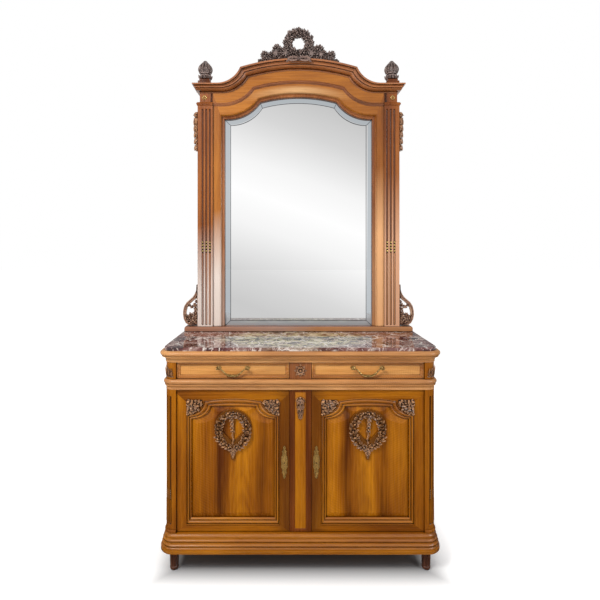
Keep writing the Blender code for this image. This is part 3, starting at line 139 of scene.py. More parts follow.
class Nodes:
    """The nodes of a material or a world, with short ways to add more of them."""

    def __init__(self, tree: bpy.types.NodeTree) -> None:
        """Takes up the node tree."""
        self.tree = tree

    def feed(self, socket: Socket, value: object) -> None:
        """Links another socket to a socket, or sets its value.

        Args:
            socket: The socket that is fed.
            value: A socket or a plain value.
        """
        if isinstance(value, bpy.types.NodeSocket):
            self.tree.links.new(value, socket)
        else:
            socket.default_value = value

    def add(
        self, kind: str, inputs: dict[str, object] | None = None, **settings: object,
    ) -> bpy.types.Node:
        """Adds a node.

        Args:
            kind: Type name of the node.
            inputs: Values or sockets for its inputs, by name.
            **settings: Properties of the node.

        Returns:
            The node.
        """
        node = self.tree.nodes.new(kind)
        for key, value in settings.items():
            setattr(node, key, value)
        for key, value in (inputs or {}).items():
            self.feed(node.inputs[key], value)
        return node

    def maths(self, operation: str, *values: object) -> Socket:
        """Adds a maths node.

        Args:
            operation: What it works out.
            *values: Values or sockets for its inputs.

        Returns:
            Its result.
        """
        node = self.add("ShaderNodeMath", operation=operation)
        for socket, value in zip(node.inputs, values):
            self.feed(socket, value)
        return node.outputs[0]

    def times(self, first: object, second: object) -> Socket:
        """Returns the product of two values."""
        return self.maths("MULTIPLY", first, second)

    def line(self, value: object, slope: object, start: object) -> Socket:
        """Returns a value times a slope, plus a start."""
        return self.maths("MULTIPLY_ADD", value, slope, start)

    def minus(self, first: object, second: object) -> Socket:
        """Returns the difference of two values."""
        return self.maths("SUBTRACT", first, second)

    def size(self, value: object) -> Socket:
        """Returns a value without its sign."""
        return self.maths("ABSOLUTE", value)

    def split(self, place: Socket) -> list[Socket]:
        """Returns the x, y and z of a vector."""
        return list(self.add("ShaderNodeSeparateXYZ", {"Vector": place}).outputs)

    def join(self, x: object, y: object, z: object) -> Socket:
        """Returns the vector of three values."""
        return self.add("ShaderNodeCombineXYZ", {"X": x, "Y": y, "Z": z}).outputs[0]

    def vectors(self, operation: str, *values: object) -> bpy.types.Node:
        """Adds a vector maths node and returns it."""
        return self.add("ShaderNodeVectorMath", dict(enumerate(values)), operation=operation)


class Graph(Nodes):
    """A material's nodes round one principled shader."""

    def __init__(self, name: str) -> None:
        """Starts the material.

        Args:
            name: Name of the material.
        """
        self.material = bpy.data.materials.new(name)
        self.material.use_nodes = True
        super().__init__(self.material.node_tree)
        self.shader = self.tree.nodes["Principled BSDF"]

    def noise(self, place: Socket, detail: float = 3.0, roughness: float = 0.5) -> Socket:
        """Adds a cloudy texture and returns its grey value."""
        inputs = {"Vector": place, "Scale": 1.0, "Detail": detail, "Roughness": roughness}
        return self.add("ShaderNodeTexNoise", inputs).outputs[0]

    def clouds(
        self, place: Socket, scale: Sequence[float], detail: float = 3.0, roughness: float = 0.5,
        shift: Sequence[float] = (0, 0, 0),
    ) -> Socket:
        """Adds a cloudy texture, stretched and moved along its axes.

        Args:
            place: Where the texture is looked up.
            scale: How many clouds a metre holds along each axis.
            detail: How many finer layers lie over the clouds.
            roughness: How strong the finer layers are.
            shift: How far the texture is moved.

        Returns:
            The texture's grey value.
        """
        inputs = {"Vector": place, "Scale": scale, "Location": shift}
        moved = self.add("ShaderNodeMapping", inputs).outputs[0]
        return self.noise(moved, detail, roughness)

    def spread(
        self, value: Socket, low: float, high: float, start: float = 0.0, stop: float = 1.0,
    ) -> Socket:
        """Maps a value's range onto another and keeps it there.

        Args:
            value: The value.
            low: Where its range begins.
            high: Where its range ends.
            start: What the beginning becomes.
            stop: What the end becomes.

        Returns:
            The mapped value.
        """
        inputs = {
            "Value": value, "From Min": low, "From Max": high, "To Min": start, "To Max": stop,
        }
        return self.add("ShaderNodeMapRange", inputs).outputs[0]

    def ramp(self, value: Socket, stops: Sequence[tuple[float, RGB]]) -> Socket:
        """Colours a value along a row of stops.

        Args:
            value: The value.
            stops: A place from 0 to 1 and a colour for each stop.

        Returns:
            The colour.
        """
        node = self.add("ShaderNodeValToRGB", {"Fac": value})
        elements = node.color_ramp.elements
        while len(elements) < len(stops):
            elements.new(0.5)
        for element, (place, colour) in zip(elements, stops):
            element.position = place
            element.color = linear(colour)
        return node.outputs[0]

    def mix(self, share: object, first: object, second: object) -> Socket:
        """Mixes two colours.

        Args:
            share: How much of the second colour shows.
            first: The first colour.
            second: The second colour.

        Returns:
            The mixed colour.
        """
        node = self.add("ShaderNodeMix", data_type="RGBA")
        for index, value in ((0, share), (6, first), (7, second)):
            self.feed(node.inputs[index], value)
        return node.outputs[2]

    def place(self) -> Socket:
        """Returns the object coordinates."""
        return self.add("ShaderNodeTexCoord").outputs["Object"]

    def hollows(self, reach: float, low: float, high: float) -> Socket:
        """Returns 0 deep in a hollow and 1 on open surface.

        Args:
            reach: How far a hollow's walls may be.
            low: Openness that counts as deep.
            high: Openness that counts as open.

        Returns:
            The openness as a grey value.
        """
        node = self.add("ShaderNodeAmbientOcclusion", {"Distance": reach}, samples=8)
        return self.spread(node.outputs["AO"], low, high)

    def relief(self, height: Socket, strength: float, depth: float) -> None:
        """Raises the surface's light and shade by a height.

        Args:
            height: The height as a grey value.
            strength: How strongly it shows.
            depth: How high white stands over black.
        """
        node = self.add(
            "ShaderNodeBump", {"Height": height, "Strength": strength, "Distance": depth},
        )
        self.tree.links.new(node.outputs[0], self.shader.inputs["Normal"])

    def finish(self, colour: object, roughness: object, **constants: float) -> bpy.types.Material:
        """Feeds the shader and returns the material.

        Args:
            colour: Base colour.
            roughness: Roughness.
            **constants: Other inputs by name, with _ for a space.

        Returns:
            The material.
        """
        self.feed(self.shader.inputs["Base Color"], colour)
        self.feed(self.shader.inputs["Roughness"], roughness)
        for key, value in constants.items():
            self.shader.inputs[key.replace("_", " ")].default_value = value
        return self.material


class Grain(Enum):
    """The axis that a board's grain runs along."""

    ACROSS = "x"
    DEEP = "y"
    UP = "z"


@dataclass(frozen=True)
class FluteShade:
    """Where flutes are cut, so that painted shade can darken them.

    A flat face has flutes between two distances from the middle, behind its front. A round post
    has them inside its radius.
    """

    low: float
    high: float
    front: float
    round_at: Point | None = None
    below: float = 9.0

    def share(self, graph: Graph) -> Socket:
        """Returns 1 in a flute and 0 on the surface between flutes.

        Args:
            graph: The material's nodes.

        Returns:
            The share as a grey value.
        """
        x, y, z = graph.split(graph.place())
        x = graph.size(x)
        if self.round_at is None:
            deep = graph.spread(y, self.front + 0.0003, self.front + 0.0022)
        else:
            across = graph.minus(x, self.round_at[0])
            ahead = graph.minus(y, self.round_at[1])
            run = graph.vectors("LENGTH", graph.join(across, ahead, 0.0))
            deep = graph.spread(run.outputs[1], self.front - 0.0003, self.front - 0.0022)
        inside = graph.times(graph.spread(x, self.low - 0.001, self.low), deep)
        inside = graph.times(inside, graph.maths("LESS_THAN", z, self.below))
        return graph.times(graph.spread(x, self.high + 0.001, self.high, 0.0, 0.85), inside)


@dataclass(frozen=True)
class Walnut:
    """French-polished walnut with streaks, pores and cross figure, with painted shade in its
    hollows and, where set, painted glare, painted sheen and painted shade in flutes.
    """

    name: str
    grain: Grain = Grain.UP
    light: RGB = (234, 176, 112)
    middle: RGB = (206, 142, 82)
    dark: RGB = (112, 64, 30)
    figure: float = 0.05
    streaks: float = 0.34
    tone: float = 0.0
    heart: tuple[float, float, float] | None = None
    shaded_from: float | None = None
    glare_below: float | None = None
    glare_strength: float = 0.9
    glare_colour: RGB = (246, 186, 130)
    sheen: tuple[float, float] | None = None
    blush: float = 0.45
    middle_dark: tuple[float, float] | None = None
    sunk: FluteShade | None = None
    gloss: float = 0.27
    polish: float = 0.4
    flute: RGB = (44, 20, 8)

    def board(self, graph: Graph) -> list[Socket]:
        """Turns the object's axes so that the third one follows the grain.

        Args:
            graph: The material's nodes.

        Returns:
            The three axes, the grain's last.
        """
        x, y, z = graph.split(graph.place())
        order = {Grain.ACROSS: (y, z, x), Grain.DEEP: (x, z, y), Grain.UP: (x, y, z)}
        return list(order[self.grain])

    def heart_streaks(self, graph: Graph, value: Socket) -> Socket:
        """Adds the dark streaks either side of a pale flame, as in a book-matched panel.

        Args:
            graph: The material's nodes.
            value: The grain's lightness.

        Returns:
            The lightness with streaks and flame.
        """
        middle, reach, width = self.heart
        x, _, z = graph.split(graph.place())
        sway = graph.noise(graph.join(0.0, 3.0, graph.times(z, 3.5)), 3.0, 0.5)
        shifted = graph.line(graph.minus(sway, 0.5), 0.03, x)
        across = graph.size(graph.minus(shifted, middle))
        off = graph.size(graph.minus(across, reach))
        streak = graph.spread(off, width * 1.35, width * 0.05)
        thin = graph.spread(graph.clouds(graph.place(), (60, 60, 2.2)), 0.3, 0.7, 0.55, 1.0)
        value = graph.line(graph.times(streak, thin), -0.42, value)
        bend = graph.times(graph.times(across, across), 900.0)
        rise = graph.line(z, 9.0, graph.times(sway, 3.0))
        flame = graph.maths("SINE", graph.times(graph.maths("ADD", bend, rise), 5.0))
        near = graph.spread(across, reach * 0.75, reach * 0.2)
        lift = graph.line(flame, 0.05, 0.26)
        value = graph.line(lift, near, value)
        slant = graph.line(across, 260.0, graph.times(z, -560.0))
        ripple = graph.maths("SINE", graph.line(sway, 40.0, slant))
        outside = graph.spread(across, reach * 1.1, reach * 1.5, 0.0, 0.045)
        return graph.line(ripple, outside, value)

    def glowing(self, graph: Graph, colour: Socket) -> Socket:
        """Paints a warm highlight, a sheen of light, along the head's arch, brightest in the
        middle.

        Args:
            graph: The material's nodes.
            colour: The wood's colour.

        Returns:
            The colour with the sheen.
        """
        level, reach = self.sheen
        x, _, z = graph.split(graph.place())
        arch = graph.line(graph.times(x, x), 0.476, z)
        band = graph.spread(graph.size(graph.minus(arch, level)), reach, reach * 0.3, 0.0, 0.55)
        glow = graph.times(band, graph.spread(graph.size(x), 0.3, 0.02))
        return graph.mix(glow, colour, linear(WINDOW_GLOW))

    def painted_glare(self, graph: Graph, colour: Socket) -> Socket:
        """Paints a pale glare of window light on the lower part of the faces that look to the
        front.

        Args:
            graph: The material's nodes.
            colour: The wood's colour.

        Returns:
            The colour, paler below a slanting line.
        """
        x, _, level = graph.split(graph.place())
        level = graph.line(x, -0.27, level)
        pale = graph.spread(
            level, self.glare_below, self.glare_below - 0.36, 0.0, self.glare_strength,
        )
        facing = graph.split(graph.add("ShaderNodeTexCoord").outputs["Normal"])[1]
        pale = graph.times(pale, graph.spread(facing, -0.2, -0.6))
        glare_colour = graph.mix(graph.spread(x, -0.1, 0.1), linear(GLARE_LEFT), linear(self.glare_colour))
        return graph.mix(pale, colour, glare_colour)

    def make(self) -> bpy.types.Material:
        """Builds the wood's material.

        Returns:
            The material.
        """
        graph = Graph(self.name)
        first, second, along = self.board(graph)
        straight = graph.join(first, second, along)
        stretched = graph.add("ShaderNodeMapping", {"Vector": straight, "Scale": WAVE_SCALE})
        wave = graph.add("ShaderNodeTexNoise", {"Vector": stretched.outputs[0], "Scale": 1.0})
        push = graph.vectors("MULTIPLY", wave.outputs[1], (0.02, 0.02, 0.0))
        bent = graph.vectors("ADD", straight, push.outputs[0]).outputs[0]
        cloud = graph.clouds(bent, CLOUD_SCALE, 4.0, 0.55)
        streak = graph.clouds(bent, STREAK_SCALE, 4.0, 0.6)
        pores = graph.clouds(bent, PORE_SCALE, 2.0, 0.6)
        patch = graph.spread(graph.clouds(straight, (6, 6, 3), shift=(8, 2, 5)), 0.45, 0.62)
        band = graph.line(cloud, 34.0, graph.times(along, FIGURE_BARS))
        ripple = graph.times(graph.maths("SINE", band), graph.times(patch, self.figure))
        broad = graph.clouds(straight, (6, 6, 1.4), shift=(3, 1, 7))
        value = graph.line(graph.minus(cloud, 0.5), 0.8, 0.55 + self.tone)
        value = graph.line(graph.minus(broad, 0.5), 0.9, value)
        value = graph.line(graph.minus(streak, 0.5), self.streaks, value)
        value = graph.line(ripple, 0.5, value)
        if self.heart is not None:
            value = self.heart_streaks(graph, value)
        colour = graph.ramp(value, [(0.18, self.dark), (0.52, self.middle), (0.88, self.light)])
        reds = graph.clouds(straight, (9, 9, 2.4), 3.0, 0.55, shift=(1, 8, 2))
        colour = graph.mix(
            graph.spread(reds, 0.44, 0.7, 0.0, self.blush), colour, linear(RED_STAIN),
        )
        # Darker towards the middle across, between two set distances from it.
        if self.middle_dark is not None:
            aside = graph.size(graph.split(graph.place())[0])
            colour = graph.mix(
                graph.spread(aside, *self.middle_dark, 0.62, 0.0), colour, linear(MIDDLE_DARKENING),
            )
        # Painted highlight: a warm sheen along the head.
        if self.sheen is not None:
            colour = self.glowing(graph, colour)
        dust = graph.spread(pores, 0.36, 0.5, 0.3, 0.0)
        colour = graph.mix(dust, colour, linear(self.dark))
        # Painted glare: front faces paler below a slanting line, whiter on the left.
        if self.glare_below is not None:
            colour = self.painted_glare(graph, colour)
        # Painted shade: the flutes are darkened to the flute colour.
        if self.sunk is not None:
            colour = graph.mix(self.sunk.share(graph), colour, linear(self.flute))
        # Painted shade: darker where ambient occlusion finds a hollow, crease or gap between parts.
        unshaded_share = graph.hollows(0.009, 0.3, 0.84)
        colour = graph.mix(unshaded_share, graph.mix(0.88, colour, linear(HOLLOW_SHADE)), colour)
        # Painted shade: the raised plate in front of this depth, behind the wreath, is coloured a
        # darker brown, as wood in the leaves' shade.
        if self.shaded_from is not None:
            depth = graph.split(graph.place())[1]
            cut = graph.spread(depth, self.shaded_from - 0.0012, self.shaded_from)
            colour = graph.mix(cut, linear(PLATE_SHADE), colour)
        rough = graph.line(streak, 0.16, self.gloss - 0.08)
        graph.relief(graph.line(pores, 0.6, streak), 0.1, 0.0005)
        shine = {"Coat_Weight": self.polish, "Specular_IOR_Level": min(0.5, self.polish)}
        return graph.finish(colour, rough, Coat_Roughness=0.07, **shine)


@dataclass(frozen=True)
class CarvedWalnut:
    """Dark carved walnut with painted shade in the hollows and painted highlights on the most open
    points.
    """

    name: str
    high: RGB = (204, 148, 98)
    body: RGB = (92, 54, 28)
    deep: RGB = (10, 5, 3)
    gloss: float = 0.19

    def make(self) -> bpy.types.Material:
        """Builds the carved wood's material.

        Returns:
            The material.
        """
        graph = Graph(self.name)
        place = graph.place()
        mottled = graph.clouds(place, (90, 90, 90), 3.0, 0.6)
        streak = graph.clouds(place, (420, 420, 60), 3.0, 0.6)
        # Painted light: ambient occlusion picks deep shade in the hollows, the body colour, and a
        # pale highlight on the most open surface.
        openness = graph.hollows(0.007, 0.34, 1.0)
        value = graph.line(graph.minus(mottled, 0.5), 0.7, openness)
        colour = graph.ramp(value, [(0.2, self.deep), (0.74, self.body), (1.0, self.high)])
        colour = graph.mix(graph.spread(streak, 0.35, 0.5, 0.35, 0.0), colour, linear(self.deep))
        rough = graph.line(mottled, 0.2, self.gloss)
        graph.relief(streak, 0.25, 0.0005)
        return graph.finish(colour, rough, Coat_Weight=0.5, Coat_Roughness=0.06)


@dataclass(frozen=True)
class PlainBoard:
    """Unpolished secondary wood, for the back and the inside."""

    name: str
    grain: Grain = Grain.ACROSS

    def make(self) -> bpy.types.Material:
        """Builds the plain wood's material."""
        colours = {"light": (196, 152, 104), "middle": (168, 120, 78), "dark": (120, 80, 50)}
        return Walnut(self.name, self.grain, **colours, figure=0.0, gloss=0.62, polish=0.1).make()


@dataclass(frozen=True)
class AgedMetal:
    """Cast or forged metal, tarnished in its hollows and rubbed where it is handled."""

    name: str
    bright: RGB = (178, 152, 96)
    dull: RGB = (44, 32, 18)
    roughness: float = 0.3
    metallic: float = 1.0

    def make(self) -> bpy.types.Material:
        """Builds the metal's material.

        Returns:
            The material.
        """
        graph = Graph(self.name)
        patches = graph.clouds(graph.place(), (240, 240, 240), 3.0, 0.6)
        openness = graph.hollows(0.004, 0.2, 0.9)
        value = graph.times(graph.spread(patches, 0.4, 0.58, 0.15, 1.0), openness)
        colour = graph.mix(value, linear(self.dull), linear(self.bright))
        rough = graph.spread(patches, 0.3, 0.7, self.roughness + 0.14, self.roughness - 0.06)
        graph.relief(patches, 0.08, 0.0004)
        return graph.finish(colour, rough, Metallic=self.metallic)


@dataclass(frozen=True)
class BrecciaMarble:
    """Polished red-brown and grey marble with white veins and a pale, greenish middle."""

    name: str = "breccia_marble"

    def make(self) -> bpy.types.Material:
        """Builds the marble's material.

        Returns:
            The material.
        """
        graph = Graph(self.name)
        place = graph.place()
        warp = graph.add(
            "ShaderNodeTexNoise", {"Vector": place, "Scale": 9.0, "Detail": 4.0},
        ).outputs[1]
        small = graph.vectors("MULTIPLY", warp, (0.16, 0.16, 0.16))
        bent = graph.vectors("ADD", place, small.outputs[0]).outputs[0]
        patches = graph.clouds(bent, (9, 12, 9), 5.0, 0.62)
        ground = [
            (0.34, (40, 22, 24)), (0.44, (96, 44, 42)), (0.53, (128, 84, 78)),
            (0.66, (178, 160, 152)),
        ]
        colour = graph.ramp(patches, ground)
        x, y, _ = graph.split(place)
        far_x = graph.times(graph.maths("ADD", x, 0.02), 2.6)
        far_y = graph.times(graph.maths("ADD", y, 0.02), 4.6)
        far = graph.maths("ADD", graph.times(far_x, far_x), graph.times(far_y, far_y))
        middle = graph.times(graph.spread(far, 1.2, 0.5), graph.spread(patches, 0.36, 0.46))
        pale = graph.clouds(bent, (22, 30, 22), 5.0, 0.65, shift=(2, 0, 0))
        cream = [
            (0.4, (44, 42, 32)), (0.48, (116, 110, 76)), (0.56, (204, 194, 150)),
            (0.68, (238, 232, 206)),
        ]
        colour = graph.mix(middle, colour, graph.ramp(pale, cream))
        for scale, width, white in ((11.0, 0.055, (246, 238, 230)), (32.0, 0.065, (232, 212, 202))):
            cells = {"Vector": bent, "Scale": scale}
            cracks = graph.add("ShaderNodeTexVoronoi", cells, feature="DISTANCE_TO_EDGE").outputs[0]
            breaks = graph.clouds(bent, (scale, scale, scale), 2.0, shift=(4, 4, 4))
            share = graph.times(graph.spread(cracks, width, 0.0), graph.spread(breaks, 0.44, 0.52))
            colour = graph.mix(share, colour, linear(white))
        return graph.finish(colour, 0.07, Coat_Weight=0.25, Coat_Roughness=0.03)


@dataclass(frozen=True)
class SilveredGlass:
    """Mirror glass with a painted reflection: a pale slanting band between greyer top and foot, and
    a grey bevel.
    """

    name: str = "silvered_glass"

    def make(self) -> bpy.types.Material:
        """Builds the mirror's material.

        Returns:
            The material.
        """
        graph = Graph(self.name)
        place = graph.place()
        x, _, z = graph.split(place)
        clouds = graph.clouds(place, (1.4, 1.4, 1.1), 2.0)
        # Painted reflection: greys along a slanting height, palest in a band across the middle.
        slant = graph.line(clouds, 0.06, graph.line(x, 0.38, z))
        level = graph.spread(slant, 1.07, 2.33)
        reflection_greys = (
            (0.0, 198), (0.14, 213), (0.35, 245), (0.49, 255), (0.63, 246), (0.83, 215), (1.0, 196),
        )
        reflection_tones = [(place, (grey, grey, grey)) for place, grey in reflection_greys]
        # Painted reflection: the bevel is tinted grey, and at its foot made less metallic so that
        # it shows that grey.
        slope = graph.spread(graph.split(place)[1], 0.20152, 0.20172, 0.0, 0.75)
        colour = graph.mix(slope, graph.ramp(level, reflection_tones), linear((168, 176, 182)))
        material = graph.finish(colour, 0.012)
        low = graph.times(graph.spread(graph.split(place)[2], 1.11, 1.096), slope)
        graph.feed(graph.shader.inputs["Metallic"], graph.line(low, -0.9, 1.0))
        return material


@dataclass(frozen=True)
class PlainColour:
    """A thin line or a dark ground that has one colour, slightly mottled, and paints shade."""

    name: str
    colour: RGB
    roughness: float = 0.4

    def make(self) -> bpy.types.Material:
        """Builds the material.

        Returns:
            The material.
        """
        graph = Graph(self.name)
        mottled = graph.clouds(graph.place(), (90, 90, 90), 2.0)
        darker = linear(tuple(0.82 * value for value in self.colour))
        return graph.finish(graph.mix(mottled, darker, linear(self.colour)), self.roughness)


def stain(light: RGB, middle: RGB, dark: RGB, polish: float) -> dict[str, object]:
    """Three tones of a wood and its polish, as fields of a walnut."""
    return {"light": light, "middle": middle, "dark": dark, "polish": polish}


class Palette:
    """Makes each finish once and hands it out by name."""

    def __init__(self) -> None:
        """Builds every finish of the sideboard."""
        low = stain((204, 128, 16), (158, 90, 7), (82, 38, 5), 0.16)
        red = {**stain((146, 76, 20), (100, 48, 12), (46, 19, 6), 0.2), "blush": 0.2}
        brown = stain((180, 112, 62), (132, 76, 38), (70, 36, 18), 0.3)
        warm = stain((184, 112, 52), (146, 82, 34), (88, 42, 16), 0.22)
        gold = stain((188, 118, 42), (150, 86, 24), (96, 48, 12), 0.26)
        pale = stain((236, 174, 100), (208, 138, 64), (130, 72, 26), 0.34)
        finishes = [
            Walnut("walnut_door", Grain.UP, figure=0.0, middle_dark=(0.07, 0.13), **low),
            Walnut("walnut_rail", Grain.ACROSS, figure=0.0, middle_dark=(0.055, 0.13), **low),
            # The moulded copies are lighter than the flats, a painted highlight, as well as more
            # polished.
            Walnut(
                "walnut_moulded", Grain.UP, figure=0.0, **{**low, "polish": 0.5}, tone=0.1,
                blush=0.2,
            ),
            Walnut(
                "walnut_moulded_rail", Grain.ACROSS, figure=0.0, **{**low, "polish": 0.5}, tone=0.1,
                blush=0.2,
            ),
            Walnut("walnut_level", Grain.ACROSS, tone=0.03),
            Walnut("walnut_plinth", Grain.ACROSS, **{**low, "polish": 0.6}, tone=0.0, blush=0.2),
            Walnut("walnut_side", Grain.UP, **low),
            Walnut(
                "walnut_post", Grain.UP, **low, sunk=FluteShade(0.57, 0.604, 0.04, (0.568, -0.185)),
                flute=(72, 36, 8),
            ),
            Walnut("walnut_red", Grain.UP, **red),
            Walnut("walnut_stile_field", Grain.UP, **low, tone=0.02, blush=0.1),
            Walnut("walnut_red_level", Grain.ACROSS, **red, tone=0.05),
            Walnut("walnut_frieze", Grain.ACROSS, **pale, figure=0.1, streaks=0.24, tone=0.2),
            Walnut(
                "walnut_drawer_edge", Grain.ACROSS, **{**pale, "polish": 0.5}, tone=-0.12,
                blush=0.7,
            ),
            Walnut("walnut_block", Grain.UP, **brown, tone=0.1),
            Walnut(
                "walnut_frame", Grain.UP, figure=0.2, glare_below=1.78, **gold, tone=0.08,
                blush=0.3,
            ),
            Walnut(
                "walnut_head", Grain.ACROSS, streaks=0.2, **gold, tone=0.2, blush=0.3,
                sheen=(2.303, 0.03),
            ),
            Walnut("walnut_sight", Grain.UP, glare_below=1.6, glare_strength=0.3, **brown, tone=0.16),
            Walnut("walnut_rod", Grain.UP, glare_below=1.6, glare_strength=0.25, **brown, tone=0.06),
            Walnut(
                "walnut_pilaster", Grain.UP, glare_below=1.72, glare_strength=0.8, glare_colour=(
                    232, 178, 142,
                ), **warm, tone=0.02,
                sunk=FluteShade(0.464, 0.5295, 0.164, below=2.21), flute=(92, 48, 24),
            ),
            Walnut("walnut_sill", Grain.ACROSS, glare_below=1.3, glare_strength=0.3, **warm),
            Walnut("walnut_astragal", Grain.ACROSS, **{**brown, "polish": 0.5}, tone=0.02),
            Walnut(
                "walnut_cornice", Grain.ACROSS, **{**brown, "polish": 0.5}, tone=0.16, blush=0.3,
            ),
            Walnut("walnut_foot", Grain.UP, **{**brown, "polish": 0.6}, tone=-0.3),
            Walnut("panel_left", heart=(-0.262, 0.097, 0.034), shaded_from=-0.213, **low, tone=0.1),
            Walnut("panel_right", heart=(0.291, 0.08, 0.034), shaded_from=-0.213, **low, tone=0.1),
            CarvedWalnut("carved_walnut", (224, 166, 114), (98, 58, 30)),
            CarvedWalnut("carved_dark", (196, 142, 98), (88, 52, 30)),
            CarvedWalnut("carved_crest", (158, 136, 128), (74, 56, 50), (8, 5, 5), 0.26),
            CarvedWalnut("carved_bow", (138, 110, 98), (76, 52, 44), (10, 6, 5), 0.26),
            CarvedWalnut("carved_bracket", (236, 196, 164), (150, 100, 74), (16, 8, 6)),
            PlainBoard("plain_level", Grain.ACROSS),
            PlainBoard("plain_deep", Grain.DEEP),
            PlainBoard("plain_upright", Grain.UP),
            AgedMetal("aged_brass", (216, 178, 108), (48, 34, 18), 0.28, 0.8),
            AgedMetal("rubbed_brass", (255, 204, 118), (34, 20, 7), 0.24, 0.62),
            AgedMetal("gilt_beads", (250, 224, 146), (140, 108, 52), 0.24),
            AgedMetal("forged_iron", (120, 114, 108), (40, 36, 34), 0.42),
            BrecciaMarble(),
            SilveredGlass(),
            # Flat colours that paint shade: the dark line on the glass's bevel and the dark ground
            # behind the corner leaves.
            PlainColour("painted_bevel_shade", (66, 70, 76)),
            PlainColour("painted_leaf_shade", (52, 30, 16), 0.6),
        ]
        self.materials = {finish.name: finish.make() for finish in finishes}

    def __getitem__(self, name: str) -> bpy.types.Material:
        """Returns the finish of this name."""
        return self.materials[name]


@dataclass
class Section:
    """The outline of a moulding, drawn stretch by stretch."""

    points: list[Point]

    def to(self, *points: Point) -> "Section":
        """Adds straight stretches."""
        self.points += points
        return self

    def bow(self, stop: Point, bulge: float, steps: int = 6) -> "Section":
        """Adds a curved stretch.

        Args:
            stop: Where the curve ends.
            bulge: Rise of the curve as a share of its chord, positive to the right.
            steps: How many short stretches make the curve.

        Returns:
            The section, so that calls can follow each other.
        """
        start = Vector(self.points[-1])
        chord = Vector(stop) - start
        across = Vector((chord.y, -chord.x))
        for i in range(1, steps + 1):
            share = i / steps
            rise = 4 * bulge * share * (1 - share)
            point = start + chord * share + across * rise
            self.points.append((point.x, point.y))
        return self


